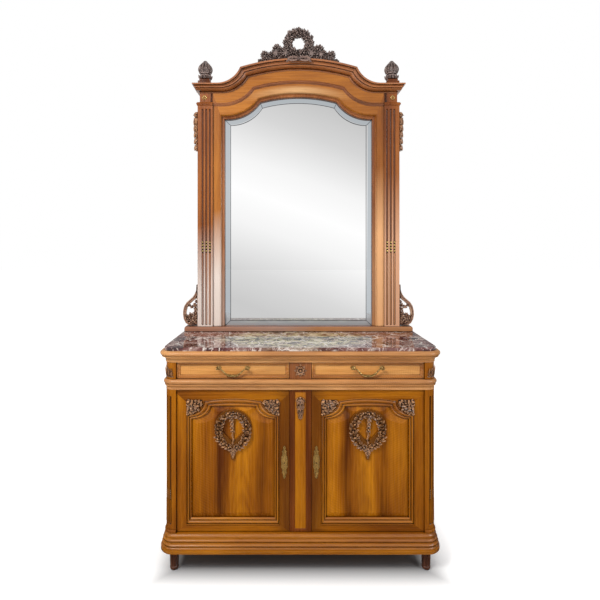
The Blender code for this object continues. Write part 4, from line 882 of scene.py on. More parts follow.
class Shape:
    """A mesh in the making, from which one finished piece comes."""

    def __init__(self) -> None:
        """Starts with nothing."""
        self.bm = bmesh.new()

    def take(self, small: bmesh.types.BMesh) -> "Shape":
        """Merges a small mesh in, which stays quick however large the piece grows.

        Args:
            small: The mesh, which is used up.

        Returns:
            The shape.
        """
        bmesh.ops.recalc_face_normals(small, faces=small.faces)
        mesh = bpy.data.meshes.new("small_mesh")
        small.to_mesh(mesh)
        small.free()
        self.bm.from_mesh(mesh)
        bpy.data.meshes.remove(mesh)
        return self

    def loft(self, stations: Sequence[Sequence[Sequence[float]]], closed: bool = False) -> "Shape":
        """Extrudes one face from outline to outline.

        Args:
            stations: Outlines with the same number of points, in order.
            closed: True where the last outline runs on into the first.

        Returns:
            The shape.
        """
        small = bmesh.new()
        start = [small.verts.new(point) for point in stations[0]]
        face = small.faces.new(start)
        rest = list(stations[1:]) + ([stations[0]] if closed else [])
        for station in rest:
            face = bmesh.ops.extrude_discrete_faces(small, faces=[face])["faces"][0]
            for vert, point in zip(face.verts, station):
                vert.co = point
        if closed:
            bmesh.ops.delete(small, geom=[face], context="FACES_ONLY")
            bmesh.ops.remove_doubles(small, verts=small.verts, dist=MERGE)
        else:
            small.faces.new(list(reversed(start)))
        return self.take(small)

    def weave(self, lines: Sequence[Sequence[Sequence[float]]], closed: bool = False) -> "Shape":
        """Lofts along lines that run beside each other and make up a moulding's section."""
        return self.loft([list(ring) for ring in zip(*lines)], closed)

    def block(self, low: Sequence[float], high: Sequence[float], easing: float = 0.0) -> "Shape":
        """Adds a block between two corners.

        Args:
            low: The corner with the lowest values.
            high: The opposite corner.
            easing: How far its edges are rounded.

        Returns:
            The shape.
        """
        small = bmesh.new()
        bmesh.ops.create_cube(small, size=1.0)
        low, high = Vector(low), Vector(high)
        bmesh.ops.scale(small, vec=high - low, verts=small.verts)
        bmesh.ops.translate(small, vec=(low + high) / 2, verts=small.verts)
        if easing:
            bmesh.ops.bevel(
                small, geom=list(small.edges), offset=easing, offset_type="OFFSET", segments=3,
                affect="EDGES", profile=0.5, material=-1,
            )
        return self.take(small)

    def turned(
        self, profile: Sequence[Point], centre: Sequence[float], axis: Sequence[float] = (0, 0, 1),
        steps: int = 24,
    ) -> "Shape":
        """Spins a profile of (radius, distance) points round an axis.

        Args:
            profile: Radius and distance along the axis, from one end to the other.
            centre: A point on the axis.
            axis: Direction of the axis.
            steps: How many facets go round.

        Returns:
            The shape.
        """
        along = Vector(axis).normalized()
        out = along.orthogonal().normalized()
        centre = Vector(centre)
        small = bmesh.new()
        verts = [small.verts.new(centre + out * max(r, 0.0) + along * h) for r, h in profile]
        edges = [small.edges.new(pair) for pair in zip(verts, verts[1:])]
        bmesh.ops.spin(
            small, geom=verts + edges, cent=centre, axis=along, dvec=(0, 0, 0),
            angle=2 * pi, steps=steps, use_merge=True, use_duplicate=False,
        )
        bmesh.ops.remove_doubles(small, verts=small.verts, dist=MERGE)
        return self.take(small)

    def tube(
        self, centres: Sequence[
            Sequence[float]
        ], radii: Sequence[float], sides: int = 8, flat: float = 1.0,
    ) -> "Shape":
        """Carries a round bar along a line of points.

        Args:
            centres: Points on the bar's centre line.
            radii: Radius at each point.
            sides: How many sides the bar has.
            flat: Thickness towards the viewer as a share of the width.

        Returns:
            The shape.
        """
        points = [Vector(point) for point in centres]
        stations = []
        for i, point in enumerate(points):
            before, after = points[max(i - 1, 0)], points[min(i + 1, len(points) - 1)]
            along = (after - before).normalized()
            face = OUT
            if abs(along.y) > 0.95:
                face = Vector((0, 0, 1))
            across = along.cross(face).normalized()
            face = across.cross(along)
            ring = []
            for k in range(sides):
                turn = 2 * pi * k / sides
                ring.append(point + radii[i] * (across * cos(turn) + face * flat * sin(turn)))
            stations.append(ring)
        return self.loft(stations)

    def bead(self, at: Sequence[float], radius: float, squash: float = 1.0) -> "Shape":
        """Adds a small bead or berry, flattened towards the wall behind it.

        Args:
            at: Its middle.
            radius: Its radius.
            squash: Its depth as a share of its width.

        Returns:
            The shape.
        """
        small = bmesh.new()
        bmesh.ops.create_uvsphere(small, u_segments=8, v_segments=6, radius=radius)
        bmesh.ops.scale(small, vec=(1, squash, 1), verts=small.verts)
        bmesh.ops.translate(small, vec=at, verts=small.verts)
        return self.take(small)

    def leaf(
        self, at: Vector, heading: Vector, face: Vector, length: float, width: float,
        thick: float = 0.35, curl: float = 0.25, taper: float = 0.62,
    ) -> "Shape":
        """Adds one leaf with a sunk midrib.

        Args:
            at: Where the leaf grows from.
            heading: The way its tip points.
            face: The way its upper side looks.
            length: Length from base to tip.
            width: Greatest width.
            thick: Thickness as a share of the width.
            curl: How far the tip lifts, as a share of the length.
            taper: How much narrower than an oval the leaf gets towards its tip.

        Returns:
            The shape.
        """
        small = bmesh.new()
        made = bmesh.ops.create_uvsphere(small, u_segments=8, v_segments=7, radius=0.5)["verts"]
        heading = Vector(heading).normalized()
        face = Vector(face).normalized()
        face = (face - heading * face.dot(heading)).normalized()
        across = heading.cross(face)
        for vert in made:
            share = vert.co.z + 0.5
            slim = 1 - taper * share ** 2
            rise = vert.co.y * thick * 2
            if vert.co.y > 0 and abs(vert.co.x) < 0.05:
                rise *= 0.35
            if vert.co.y < 0:
                rise *= 0.4
            side = vert.co.x * width * slim * 1.1
            up = rise * width * slim + curl * length * share ** 2
            vert.co = Vector(at) + across * side + face * up + heading * (length * share)
        return self.take(small)

    def acanthus(
        self, at: Vector, heading: Vector, face: Vector, length: float, width: float,
        lobes: int = 3, curl: float = 0.2,
    ) -> "Shape":
        """Adds a lobed leaf: a middle blade with pairs of side blades that shorten to the tip.

        Args:
            at: Where the leaf grows from.
            heading: The way its tip points.
            face: The way its upper side looks.
            length: Length from base to tip.
            width: Width over the side blades.
            lobes: How many pairs of side blades it has.
            curl: How far the tip lifts, as a share of the length.

        Returns:
            The shape.
        """
        at, heading, face = Vector(at), Vector(heading).normalized(), Vector(face).normalized()
        across = heading.cross(face).normalized()
        self.leaf(at, heading, face, length, width * 0.45, 0.55, curl)
        for i in range(lobes):
            share = (i + 0.3) / lobes
            start = at + heading * (length * share * 0.72) + face * (
                curl * length * share ** 2 * 0.5
            )
            reach = width * (0.62 - 0.3 * share)
            for side in (-1, 1):
                way = heading * (0.55 + 0.5 * share) + across * side
                self.leaf(
                    start, way, face + across * side * 0.3, reach, reach * 0.52, 0.5, curl * 0.6,
                )
        return self

    def tuft(
        self, at: Vector, radius: float, lead: Vector, leaves: int = 22, seed: int = 0,
        behind: float = 0.35,
    ) -> "Shape":
        """Adds a round lump of overlapping blunt leaves, as a carver groups them.

        Args:
            at: Middle of the lump.
            radius: Radius of the lump.
            lead: The way the leaves' tips tend to point.
            leaves: How many leaves cover it.
            seed: Number that picks the lump's small irregularities.
            behind: How far round to the back the leaves go, from -1 to 1.

        Returns:
            The shape.
        """
        chance = random.Random(seed)
        at, lead = Vector(at), Vector(lead).normalized()
        self.bead(at, radius * 0.72)
        for i in range(leaves):
            deep = behind - (1 + behind) * (i + 0.5) / leaves
            turn = i * pi * (3 - sqrt(5)) + chance.uniform(-0.25, 0.25)
            reach = sqrt(max(0.0, 1 - deep * deep))
            out = Vector((reach * cos(turn), deep, reach * sin(turn)))
            way = out * 0.62 + lead * 0.7
            long = radius * chance.uniform(0.78, 1.05)
            self.leaf(at + out * radius * 0.4, way, out, long, long * 0.62, 0.5, 0.1, 0.3)
        return self

    def rosette(self, at: Vector, face: Vector, radius: float, petals: int = 8) -> "Shape":
        """Adds an open flower of two rows of petals round a button.

        Args:
            at: Its middle.
            face: The way it looks.
            radius: Its radius.
            petals: How many petals each row has.

        Returns:
            The shape.
        """
        at, face = Vector(at), Vector(face).normalized()
        right = face.orthogonal().normalized()
        up = face.cross(right)
        for row, (reach, lift) in enumerate(((1.0, 0.1), (0.62, 0.45))):
            for i in range(petals):
                turn = 2 * pi * (i + row / 2) / petals
                way = right * cos(turn) + up * sin(turn)
                start = at + face * (radius * 0.12 * row) + way * (radius * 0.08)
                self.leaf(start, way, face, radius * reach * 0.92, radius * 0.55, 0.4, lift)
        return self.bead(at + face * radius * 0.22, radius * 0.2)

    def hold_in(self, low: Sequence[float | None], high: Sequence[float | None]) -> "Shape":
        """Presses points that stand outside a box back onto it.

        Args:
            low: Lowest value along each axis, or None for no limit.
            high: Highest value along each axis, or None for no limit.

        Returns:
            The shape.
        """
        for vert in self.bm.verts:
            for axis in range(3):
                if low[axis] is not None:
                    vert.co[axis] = max(vert.co[axis], low[axis])
                if high[axis] is not None:
                    vert.co[axis] = min(vert.co[axis], high[axis])
        return self

    def become(
        self, name: str, material: bpy.types.Material, body: str = "carcass",
        slot: str | None = None, stands_for: Iterable[str] = (), sharp: float = 38.0,
    ) -> bpy.types.Object:
        """Turns the mesh into a finished piece.

        Args:
            name: Name of the piece.
            material: Its finish.
            body: The body that it rides on.
            slot: Not used.
            stands_for: Solids that it is shown in place of.
            sharp: Angle in degrees past which an edge stays crisp.

        Returns:
            The piece's object.
        """
        mesh = bpy.data.meshes.new(name)
        self.bm.to_mesh(mesh)
        self.bm.free()
        mesh.materials.append(material)
        mesh.shade_smooth()
        mesh.set_sharp_from_angle(angle=radians(sharp))
        piece = bpy.data.objects.new(name, mesh)
        bpy.context.scene.collection.objects.link(piece)
        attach(piece, body)
        nodes = list(stands_for)
        if nodes:
            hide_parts(*nodes)
        log.info("%s: %d faces on %s", name, len(mesh.polygons), body)
        return piece


def arc(centre: Point, radius: Point, start: float, stop: float, steps: int) -> list[Point]:
    """Points of an elliptic arc.

    Args:
        centre: Centre of the ellipse.
        radius: Its two half axes.
        start: First angle in radians.
        stop: Last angle in radians.
        steps: How many stretches make the arc.

    Returns:
        The points, with both ends.
    """
    turns = [start + (stop - start) * i / steps for i in range(steps + 1)]
    return [(centre[0] + radius[0] * cos(t), centre[1] + radius[1] * sin(t)) for t in turns]


def between(first: Sequence[Point], second: Sequence[Point], share: float) -> list[Point]:
    """Points part of the way from one line to another."""
    return [(a + (c - a) * share, b + (d - b) * share) for (a, b), (c, d) in zip(first, second)]


def flute() -> list[Point]:
    """Section of a round flute of half width 1 and depth 1, as (across, deep)."""
    shares = [step / FLUTE_STEPS for step in range(-FLUTE_STEPS, FLUTE_STEPS + 1)]
    return [(share, sqrt(1 - share ** 2)) for share in shares]


def fluted(low: float, high: float, deep: float) -> Levels:
    """Levels of a shaft between which its flutes run, with round ends.

    Args:
        low: Where the flutes begin.
        high: Where they begin to rise out again.
        deep: Their depth.

    Returns:
        The height, the outset and the depth of the flutes at each level.
    """
    made = []
    for start, curve in ((low, sin), (high, cos)):
        for i in range(FLUTE_STEPS + 1):
            turn = pi / 2 / FLUTE_STEPS * i
            made.append((start + FLUTE_RISE * i, 0.0, deep * curve(turn)))
    return made


def rolled(start: float, stop: float, first: float, last: float, peak: float) -> list[Point]:
    """A rounded stretch of a moulding's section, through a peak depth.

    Args:
        start: Share across the moulding where it begins.
        stop: Share where it ends.
        first: Depth at the beginning.
        last: Depth at the end.
        peak: Depth in the middle.

    Returns:
        A share and a depth for each point.
    """
    made = []
    for i in range(7):
        share = i / 6
        base = first + (last - first) * share
        bulge = 4 * share * (1 - share)
        made.append((start + (stop - start) * share, base + (peak - (first + last) / 2) * bulge))
    return made


@dataclass
class Case:
    """The lower case: its feet, bearer, mouldings, corner posts and the carving between."""

    palette: Palette
    half: float = 0.608
    front: float = -0.225
    back: float = 0.253
    corner: float = 0.04
    corner_steps: int = 10
    plinth_bottom: float = 0.101
    plinth_top: float = 0.182
    mid_bottom: float = 0.822
    mid_top: float = 0.868
    top_bottom: float = 0.945
    top_top: float = 0.9967
    marble_bottom: float = 0.9936
    post_inner: float = 0.5565
    post_back: float = -0.17
    flute_end: float = 0.034
    flute_depth: float = 0.0042
    bearer_half: float = 0.575
    foot_reeds: int = 10
    reed_steps: int = 6
    foot_levels: tuple[tuple[float, float, float], ...] = (
        (0.0, 0.0145, 0.0), (
            0.002, 0.0168, 0.0,
        ), (0.006, 0.0188, 0.0), (0.011, 0.0196, 0.0), (0.016, 0.0188, 0.0),
        (0.018, 0.0174, 0.0), (0.02, 0.0176, 0.0), (0.022, 0.0192, 0.0028), (0.08, 0.0205, 0.0032),
        (0.083, 0.0198, 0.0), (0.085, 0.0204, 0.0), (0.089, 0.0211, 0.0), (0.094, 0.0213, 0.0), (
            0.1008, 0.0213, 0.0,
        ),
    )

    def stations(self, section: Sequence[Point]) -> list[list[tuple[float, float, float]]]:
        """Stands a section of (out, up) points along the front and both sides.

        Args:
            section: Distance outwards and height of each point.

        Returns:
            One outline for each place along the case.
        """
        centres = ((self.corner - self.half, pi), (self.half - self.corner, 1.5 * pi))
        row = [((-self.half, self.back), (-1.0, 0.0))]
        for x, start in centres:
            centre = (x, self.front + self.corner)
            radius = (self.corner, self.corner)
            stop = start + pi / 2
            for point in arc(centre, radius, start, stop, self.corner_steps):
                way = ((point[0] - centre[0]) / self.corner, (point[1] - centre[1]) / self.corner)
                row.append((point, way))
        row.append(((self.half, self.back), (1.0, 0.0)))
        made = []
        for (x, y), (right, ahead) in row:
            made.append([(x + right * out, y + ahead * out, up) for out, up in section])
        return made

    def belt(self, name: str, section: Section, finish: str, node: str) -> None:
        """Runs a section round the case as the piece that is shown for a node."""
        shape = Shape().loft(self.stations(section.points))
        shape.become(name, self.palette[finish], slot="walnut", stands_for=[node])

    def build_feet(self) -> None:
        """Makes the four reeded feet, each a round column with a ring at its top and its toe."""
        for node in [f"foot_{end}_{word}" for end in ("front", "rear") for _, word in SIDES]:
            low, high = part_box(node)
            x, y = (low.x + high.x) / 2, (low.y + high.y) / 2
            rings = []
            for up, radius, reed in self.foot_levels:
                ring = []
                steps = self.foot_reeds * self.reed_steps
                for i in range(steps):
                    turn = 2 * pi * i / steps
                    cut = reed * (1 - abs(sin(self.foot_reeds * turn / 2)))
                    ring.append(
                        (x + (radius - cut) * cos(turn), y + (radius - cut) * sin(turn), up)
                    )
                rings.append(ring)
            shape = Shape().loft(rings)
            shape.become(
                f"reeded_{node}", self.palette["walnut_foot"], slot="walnut_dark",
                stands_for=[node], sharp=30.0,
            )

    def build_mouldings(self) -> None:
        """Makes the plinth, the rounded moulding under the drawers and the marble's frame."""
        low, top = self.plinth_bottom, self.plinth_top
        plinth = Section([(0.0228, low)]).to(
            (0.024, low + 0.0016), (0.024, low + 0.017), (0.019, low + 0.0178),
        )
        plinth.to((0.019, low + 0.0205)).bow(
            (0.019, low + 0.03), -0.45, 6,
        ).to((0.0165, low + 0.0306))
        plinth.to((0.0165, low + 0.0336), (0.0192, low + 0.0342)).bow((0.015, low + 0.0475), -0.2)
        plinth.to((0.012, low + 0.0482), (0.012, low + 0.0512), (0.0148, low + 0.0518))
        plinth.bow((0.009, low + 0.064), -0.24).bow((0.003, low + 0.0775), 0.16)
        plinth.to((0.003, top), (-0.022, top), (-0.022, low))
        self.belt("moulded_plinth", plinth, "walnut_plinth", "plinth")

        low, top = self.mid_bottom, self.mid_top
        middle = Section([(0.0008, low)]).to((0.0008, low + 0.005)).bow((0.007, low + 0.0185), -0.2)
        middle.to((0.007, low + 0.0235), (0.0058, low + 0.0245)).bow((0.005, top), 0.31, 10)
        middle.to((-0.0077, top), (-0.0077, low))
        self.belt("rounded_moulding", middle, "walnut_level", "mid_moulding")

        low, top = self.top_bottom, self.top_top
        upper = Section([(0.003, low)]).to((0.003, low + 0.0025)).bow(
            (0.016, low + 0.023), -0.18, 8,
        )
        upper.to((0.02, low + 0.0236), (0.02, low + 0.0268), (0.018, low + 0.0276))
        upper.bow((0.0175, top), 0.42, 12)
        upper.to((0.0083, top), (0.0083, self.marble_bottom - GAP))
        upper.to((-0.026, self.marble_bottom - GAP), (-0.026, low))
        self.belt("marble_frame", upper, "walnut_level", "top_frame")

    def post_ring(self, side: int, level: float, out: float, sunk: float) -> Levels:
        """One level of a corner post, with three round flutes where it is sunk.

        Args:
            side: -1 for the left post and 1 for the right one.
            level: Height of the level.
            out: How far the post stands outside its plain size.
            sunk: Depth of the flutes.

        Returns:
            The outline's points.
        """
        radius = self.corner + out
        centre = (self.half - self.corner, self.front + self.corner)
        turns = [(-90.0, 0.0)]
        for i in range(3):
            middle = self.flute_turn(i)
            turns += [(middle + 8.8 * across, sunk * deep) for across, deep in flute()]
        turns.append((0.0, 0.0))
        points = [(self.post_inner, self.post_back), (self.post_inner, centre[1] - radius)]
        for turn, deep in turns:
            here = radius - deep
            turn = radians(turn)
            points.append((centre[0] + here * cos(turn), centre[1] + here * sin(turn)))
        points.append((self.half + out, self.post_back))
        return [(side * x, y, level) for x, y in points]

    def flute_turn(self, number: int) -> float:
        """Direction of one of the three flutes as seen from the post's round, in degrees."""
        return -45.0 + (number - 1) * 24.0

    def build_posts(self) -> None:
        """Makes the fluted corner posts with their beads, foot mouldings and frieze leaves."""
        foot, top = self.plinth_top + GAP, self.mid_bottom - GAP
        levels = [(foot, 0.0035, 0.0)]
        for up, out in Section([(0.0, 0.0035)]).bow((0.014, 0.0035), -0.19, 6).points[1:]:
            levels.append((foot + up, out, 0.0))
        levels += [(foot + 0.0145, 0.0005, 0.0), (foot + 0.03, 0.0, 0.0)]
        levels += fluted(foot + self.flute_end, top - self.flute_end, self.flute_depth)
        levels += [(top, 0.0, 0.0), (top, -0.008, 0.0)]
        levels += [(self.mid_top + GAP, -0.008, 0.0), (self.mid_top + GAP, 0.0, 0.0)]
        levels.append((self.top_bottom - GAP, 0.0, 0.0))
        for side, word in SIDES:
            shape = Shape().loft([self.post_ring(side, *level) for level in levels])
            name = f"corner_post_{word}"
            shape.become(
                f"fluted_post_{word}", self.palette["walnut_post"], slot="walnut",
                stands_for=[name],
            )
            self.dress_post(side, word)

    def dress_post(self, side: int, word: str) -> None:
        """Adds the rods and beads of a post's flutes and the leaf over it.

        Args:
            side: -1 for the left post and 1 for the right one.
            word: The side's name.
        """
        centre = Vector((self.half - self.corner, self.front + self.corner, 0))
        rods, beads = Shape(), Shape()
        for i in range(3):
            turn = radians(self.flute_turn(i))
            way = Vector((cos(turn), sin(turn), 0))
            at = centre + way * (self.corner - 0.0016)
            at.x *= side
            rods.tube([at + Vector((0, 0, 0.226)), at + Vector((0, 0, 0.33))], [0.0024, 0.0024], 8)
            for k in range(5):
                beads.bead(at + Vector((0, 0, 0.337 + 0.0085 * k)), 0.0026)
        rods.become(f"post_rods_{word}", self.palette["walnut_post"], slot="walnut")
        beads.become(f"post_beads_{word}", self.palette["carved_walnut"], slot="carved")
        leaf = Shape()
        for i, turn in enumerate((-78, -62, -45, -28, -12)):
            turn = radians(turn)
            way = Vector((side * cos(turn), sin(turn), 0))
            base = Vector((side * centre.x, centre.y, 0)) + way * (self.corner - 0.001)
            tall = 0.06 if i == 2 else 0.048
            leaf.acanthus(base + Vector((0, 0, 0.874)), UP, way, tall, 0.022, 3, 0.16)
        leaf.become(f"frieze_leaf_{word}", self.palette["carved_dark"], slot="carved")

    def build_centre(self) -> None:
        """Makes the stile's field and drop of husks, and the rosette between the drawers."""
        husks = Shape()
        top = self.mid_bottom - 0.041
        for level, size in ((0.0, 1.0), (0.03, 0.88), (0.056, 0.72), (0.078, 0.54)):
            at = Vector((0, -0.215, top + 0.002 - level))
            husks.bead(at + Vector((0, 0.001, -0.012 * size)), 0.0105 * size, 0.45)
            for spread, scale in (
                (-0.95, 0.72), (0.95, 0.72), (-0.42, 1.0), (0.42, 1.0), (0.0, 1.12),
            ):
                way = Vector((spread, 0, -1))
                start = at + Vector((0.004 * size * spread, -0.001, 0))
                husks.leaf(start, way, OUT, 0.033 * size * scale, 0.0165 * size, 0.55, 0.16)
            husks.bead(at + Vector((0, -0.004, 0.001)), 0.005 * size)
        husks.become("husk_drop", self.palette["carved_dark"], slot="carved")
        field_plate = Shape()
        field_plate.block((-0.0248, -0.2148, 0.196), (0.0248, -0.2135, 0.808), 0.0005)
        field_plate.become("stile_field", self.palette["walnut_stile_field"], slot="walnut")
        flower = Shape()
        flower.rosette(Vector((0, -0.217, 0.9065)), OUT, 0.03, 8)
        flower.become("block_rosette", self.palette["carved_dark"], slot="carved")

    def build_bearer(self) -> None:
        """Makes the strip behind the plinth that carries the bottom board's front edge."""
        low = (-self.bearer_half, self.front + 0.0222, self.plinth_top - 0.02)
        high = (self.bearer_half, self.front + 0.038, self.plinth_top - 0.0004)
        Shape().block(low, high, 0.0005).become(
            "bottom_bearer", self.palette["plain_level"], slot="plain_board",
        )

    def build(self) -> None:
        """Makes every piece of the lower case."""
        self.build_feet()
        self.build_bearer()
        self.build_mouldings()
        self.build_posts()
        self.build_centre()


@dataclass
class Door:
    """One door: its moulded frame, carved corners and wreath, and its brass plate."""

    palette: Palette
    side: int
    word: str
    face: float = -0.215
    back: float = -0.191
    inner: float = 0.0505
    outer: float = 0.555
    bottom: float = 0.1835
    top: float = 0.8205
    stile: float = 0.043
    bottom_rail: float = 0.03
    crown_drop: float = 0.037
    shoulder_drop: float = 0.0505
    shoulder_width: float = 0.077
    shoulder_height: float = 0.061
    shoulder_steps: int = 12
    crown_steps: int = 20
    corner_wide: float = 0.071
    corner_tall: float = 0.061
    wreath_front: float = -0.216
    stem_drop: float = 0.108
    stem_length: float = 0.142
    tail_drop: float = 0.262
    lock_x: float = 0.072
    lock_z: float = 0.491

    @property
    def centre(self) -> float:
        """Middle of the door across, before it is put on its side."""
        return (self.inner + self.outer) / 2

    @property
    def half(self) -> float:
        """Half of the door's width."""
        return (self.outer - self.inner) / 2

    @property
    def body(self) -> str:
        """The body that the door's pieces ride on."""
        return f"door_{self.word}"

    def line(
        self, sides: float, low: float, shoulder_in: float, crown_in: float, grow: float,
    ) -> list[Point]:
        """An arched line inside the moulding's outer edge.

        Args:
            sides: Distance from the edge at the sides.
            low: Distance at the bottom.
            shoulder_in: Distance at the shoulders.
            crown_in: Distance at the crown.
            grow: How much larger the corner's rounds are.

        Returns:
            Points from the bottom left round to the left shoulder.
        """
        half = self.half - self.stile - sides
        bottom = self.bottom + self.bottom_rail + low
        shoulder = self.top - self.shoulder_drop - shoulder_in
        crown = self.top - self.crown_drop - crown_in
        width = self.shoulder_width + grow
        height = self.shoulder_height + grow - shoulder_in / 2
        right = arc((half, shoulder), (-width, -height), pi / 2, 0, self.shoulder_steps)
        span, rise = half - width, crown - shoulder
        radius = (span * span + rise * rise) / (2 * rise)
        spread = acos((radius - rise) / radius)
        start, stop = pi / 2 - spread, pi / 2 + spread
        over = arc((0, crown - radius), (radius, radius), start, stop, self.crown_steps)
        left = [(-x, z) for x, z in reversed(right)]
        return [(-half, bottom), (half, bottom)] + right + over[1:-1] + left

    def rectangle(self) -> list[Point]:
        """Points on the door's edge, one for each point of an arched line.

        Returns:
            The points, in the order of an arched line's.
        """
        corner = self.shoulder_steps // 2
        low = self.top - self.shoulder_drop - self.shoulder_height
        span = self.half - self.stile - self.shoulder_width
        right = []
        for i in range(self.shoulder_steps + 1):
            if i <= corner:
                right.append((self.half, low + (self.top - low) * i / corner))
            else:
                share = (i - corner) / (self.shoulder_steps - corner)
                right.append((self.half + (span - self.half) * share, self.top))
        over = [
            (span - 2 * span * i / self.crown_steps, self.top) for i in range(1, self.crown_steps)
        ]
        left = [(-x, z) for x, z in reversed(right)]
        return [(-self.half, self.bottom), (self.half, self.bottom)] + right + over + left

    def build_frame(self) -> None:
        """Makes the frame with its double bead and hollow, mitred all the way round."""
        edge, sight = self.line(0, 0, 0, 0, 0), self.line(0.022, 0.028, 0.028, 0.04, 0.008)
        rebate = self.line(0.014, 0.02, 0.02, 0.032, 0.0)
        face = self.face
        depths: list[Point] = [(0.0, 0.0)]
        for stretch in (
            (0.01, 0.13, 0.0, 0.0022, -0.0046), (0.15, 0.6, 0.002, 0.0045, -0.0018),
            (0.62, 0.69, 0.0062, 0.0062, 0.0064), (0.7, 0.96, 0.005, 0.0068, 0.002),
        ):
            depths += rolled(*stretch)
        depths.append((1.0, 0.0074))
        lines = [(self.rectangle(), face)]
        lines += [(between(edge, sight, share), face + deep) for share, deep in depths]
        step = self.back - 0.0103
        lines += [(sight, step), (rebate, step), (rebate, self.back), (self.rectangle(), self.back)]
        drawn = [[(self.side * (self.centre + x), y, z) for x, z in line] for line, y in lines]
        shape = Shape().weave(drawn, closed=True)
        name = f"door_frame_{self.word}"
        material = self.palette["walnut_door"]
        piece = shape.become(f"moulded_{name}", material, self.body, "walnut", [name])
        # The moulding's faces take the lighter moulded copies, a painted highlight.
        for finish in ("walnut_rail", "walnut_moulded", "walnut_moulded_rail"):
            piece.data.materials.append(self.palette[finish])
        for face in piece.data.polygons:
            moulded = abs(face.center.y - self.face) > 1e-5 and face.center.y < self.face + 0.008
            across = abs(abs(face.center.x) - self.centre)
            inside = across < self.half - self.stile - (0.024 if moulded else 0.001)
            face.material_index = 2 * moulded + inside

    def place(self, x: float, y: float, z: float) -> Vector:
        """A point given by its distance from the door's middle, put on the door's side."""
        return Vector((self.side * (self.centre + x), y, z))

    def way(self, x: float, y: float, z: float) -> Vector:
        """A direction, mirrored onto the door's side."""
        return Vector((self.side * x, y, z))

    def build_corners(self) -> None:
        """Makes the leaf carving of the two upper corners, on a dark plate that paints the shade
        between the leaves.
        """
        carving, ground = Shape(), Shape()
        chance = random.Random(11)
        half = self.half - self.stile
        top = self.top - self.shoulder_drop
        for sign in (-1, 1):
            root = self.place(sign * (half - 0.001), self.face - 0.0015, top + 0.004)
            fan = arc((0, 0), (self.corner_wide, self.corner_tall), 0, pi / 2, 10)
            outline = [(0.0, 0.0), *fan]
            # Painted shade: a dark plate behind the leaves.
            ground.loft([
                [(root.x - self.side * sign * x, y, root.z - z) for x, z in outline]
                for y in (self.face - 0.0008, self.face + 0.004)
            ])
            for row, (reach, count) in enumerate(
                ((0.16, 2), (0.36, 4), (0.56, 6), (0.76, 8), (0.93, 9))
            ):
                for i in range(count):
                    turn = radians(5 + 80 * (i + 0.5) / count + chance.uniform(-4, 4))
                    across, down = self.corner_wide * cos(turn), self.corner_tall * sin(turn)
                    spot = self.way(-sign * across, 0, -down) * reach
                    lean = turn + radians(chance.choice((-58, -30, 25, 52)))
                    way = self.way(-sign * cos(lean), 0, -sin(lean))
                    long = chance.uniform(0.017, 0.023)
                    start = root + spot - way * 0.4 * long - Vector((0, 0.001 + 0.0006 * row, 0))
                    carving.leaf(
                        start, way, OUT, long, long * 0.52, 0.6, chance.uniform(0.12, 0.42), 0.45,
                    )
                    if (i + row) % 3 == 0:
                        carving.bead(root + spot * 1.08 + Vector((0, -0.0052, 0)), 0.0034)
            carving.bead(root + self.way(-sign * 0.008, -0.006, -0.008), 0.0062)
            curl = self.place(sign * (half - 0.005), self.face - 0.003, top - 0.06)
            carving.bead(curl, 0.0055)
        carving.become(
            f"corner_leaves_{self.word}", self.palette["carved_walnut"], self.body, "carved",
        )
        ground.become(
            f"corner_shade_plate_{self.word}", self.palette["painted_leaf_shade"], self.body, "carved",
        )

    def wreath_line(self, steps: int) -> list[tuple[Vector, Vector]]:
        """Places and directions up one side of the egg-shaped wreath.

        Args:
            steps: How many places are taken.

        Returns:
            Pairs of a place in the door's plane and the way that the wreath runs there.
        """
        top = self.top
        drawn = [(0.0, 0.264), (0.018, 0.258), (0.038, 0.247), (0.053, 0.229), (0.062, 0.208)]
        drawn += [
            (0.065, 0.186), (0.062, 0.162), (0.053, 0.141), (0.039, 0.124), (0.02, 0.113),
            (0.0, 0.11),
        ]
        points = [Vector((x, 0, top - drop)) for x, drop in drawn]
        made = []
        for i in range(steps):
            share = (i + 0.5) / steps * (len(points) - 1)
            low = min(int(share), len(points) - 2)
            run = points[low + 1] - points[low]
            made.append((points[low] + run * (share - low), run.normalized()))
        return made

    def build_wreath(self) -> None:
        """Makes the wreath of leaves and berries with its hanging stem and tail."""
        carving = Shape()
        front = self.wreath_front
        chance = random.Random(7)
        for sign in (-1, 1):
            for i, (spot, run) in enumerate(self.wreath_line(15)):
                along = self.way(sign * run.x, 0, run.z)
                side = self.way(sign * run.z, 0, -run.x)
                at = self.place(sign * spot.x, front, spot.z)
                full = 0.66 + 0.34 * sin(pi * min(1.0, (i + 2) / 16))
                for lean, shift in (
                    (1.1, 0.006), (-1.1, -0.006), (0.3, 0.004), (-0.4, -0.004), (0.1, 0.01),
                ):
                    way = along + side * (lean + chance.uniform(-0.35, 0.35))
                    start = at + side * shift * full + Vector((0, chance.uniform(-0.004, 0.002), 0))
                    long = 0.02 * full * chance.uniform(0.8, 1.15)
                    curl = chance.uniform(0.1, 0.6)
                    carving.leaf(start, way, OUT, long, 0.0112 * full, 0.62, curl, 0.45)
                if i % 2:
                    shift = chance.choice((-0.011, 0.0, 0.011)) * full
                    carving.bead(at + side * shift + Vector((0, -0.0062, 0)), 0.0042)
        start = self.top - self.stem_drop
        for i in range(5):
            share = i / 8
            at = self.place(0.006 - 0.008 * share, front - 0.001, start - self.stem_length * share)
            for sign in (-1, 1):
                way = self.way(sign * chance.uniform(0.35, 0.95), 0, -1)
                carving.leaf(at, way, OUT, 0.0225 - 0.0016 * i, 0.01 - 0.0006 * i, 0.6, 0.25)
            carving.bead(at + Vector((0, -0.006, 0)), 0.0036)
        for i in range(5, 9):
            at = self.place(0.006 - 0.001 * i, front - 0.001, start - self.stem_length * i / 8)
            way = self.way(0.4 if i % 2 else -0.4, 0, -1)
            carving.leaf(at, way, OUT, 0.016, 0.0062, 0.6, 0.15)
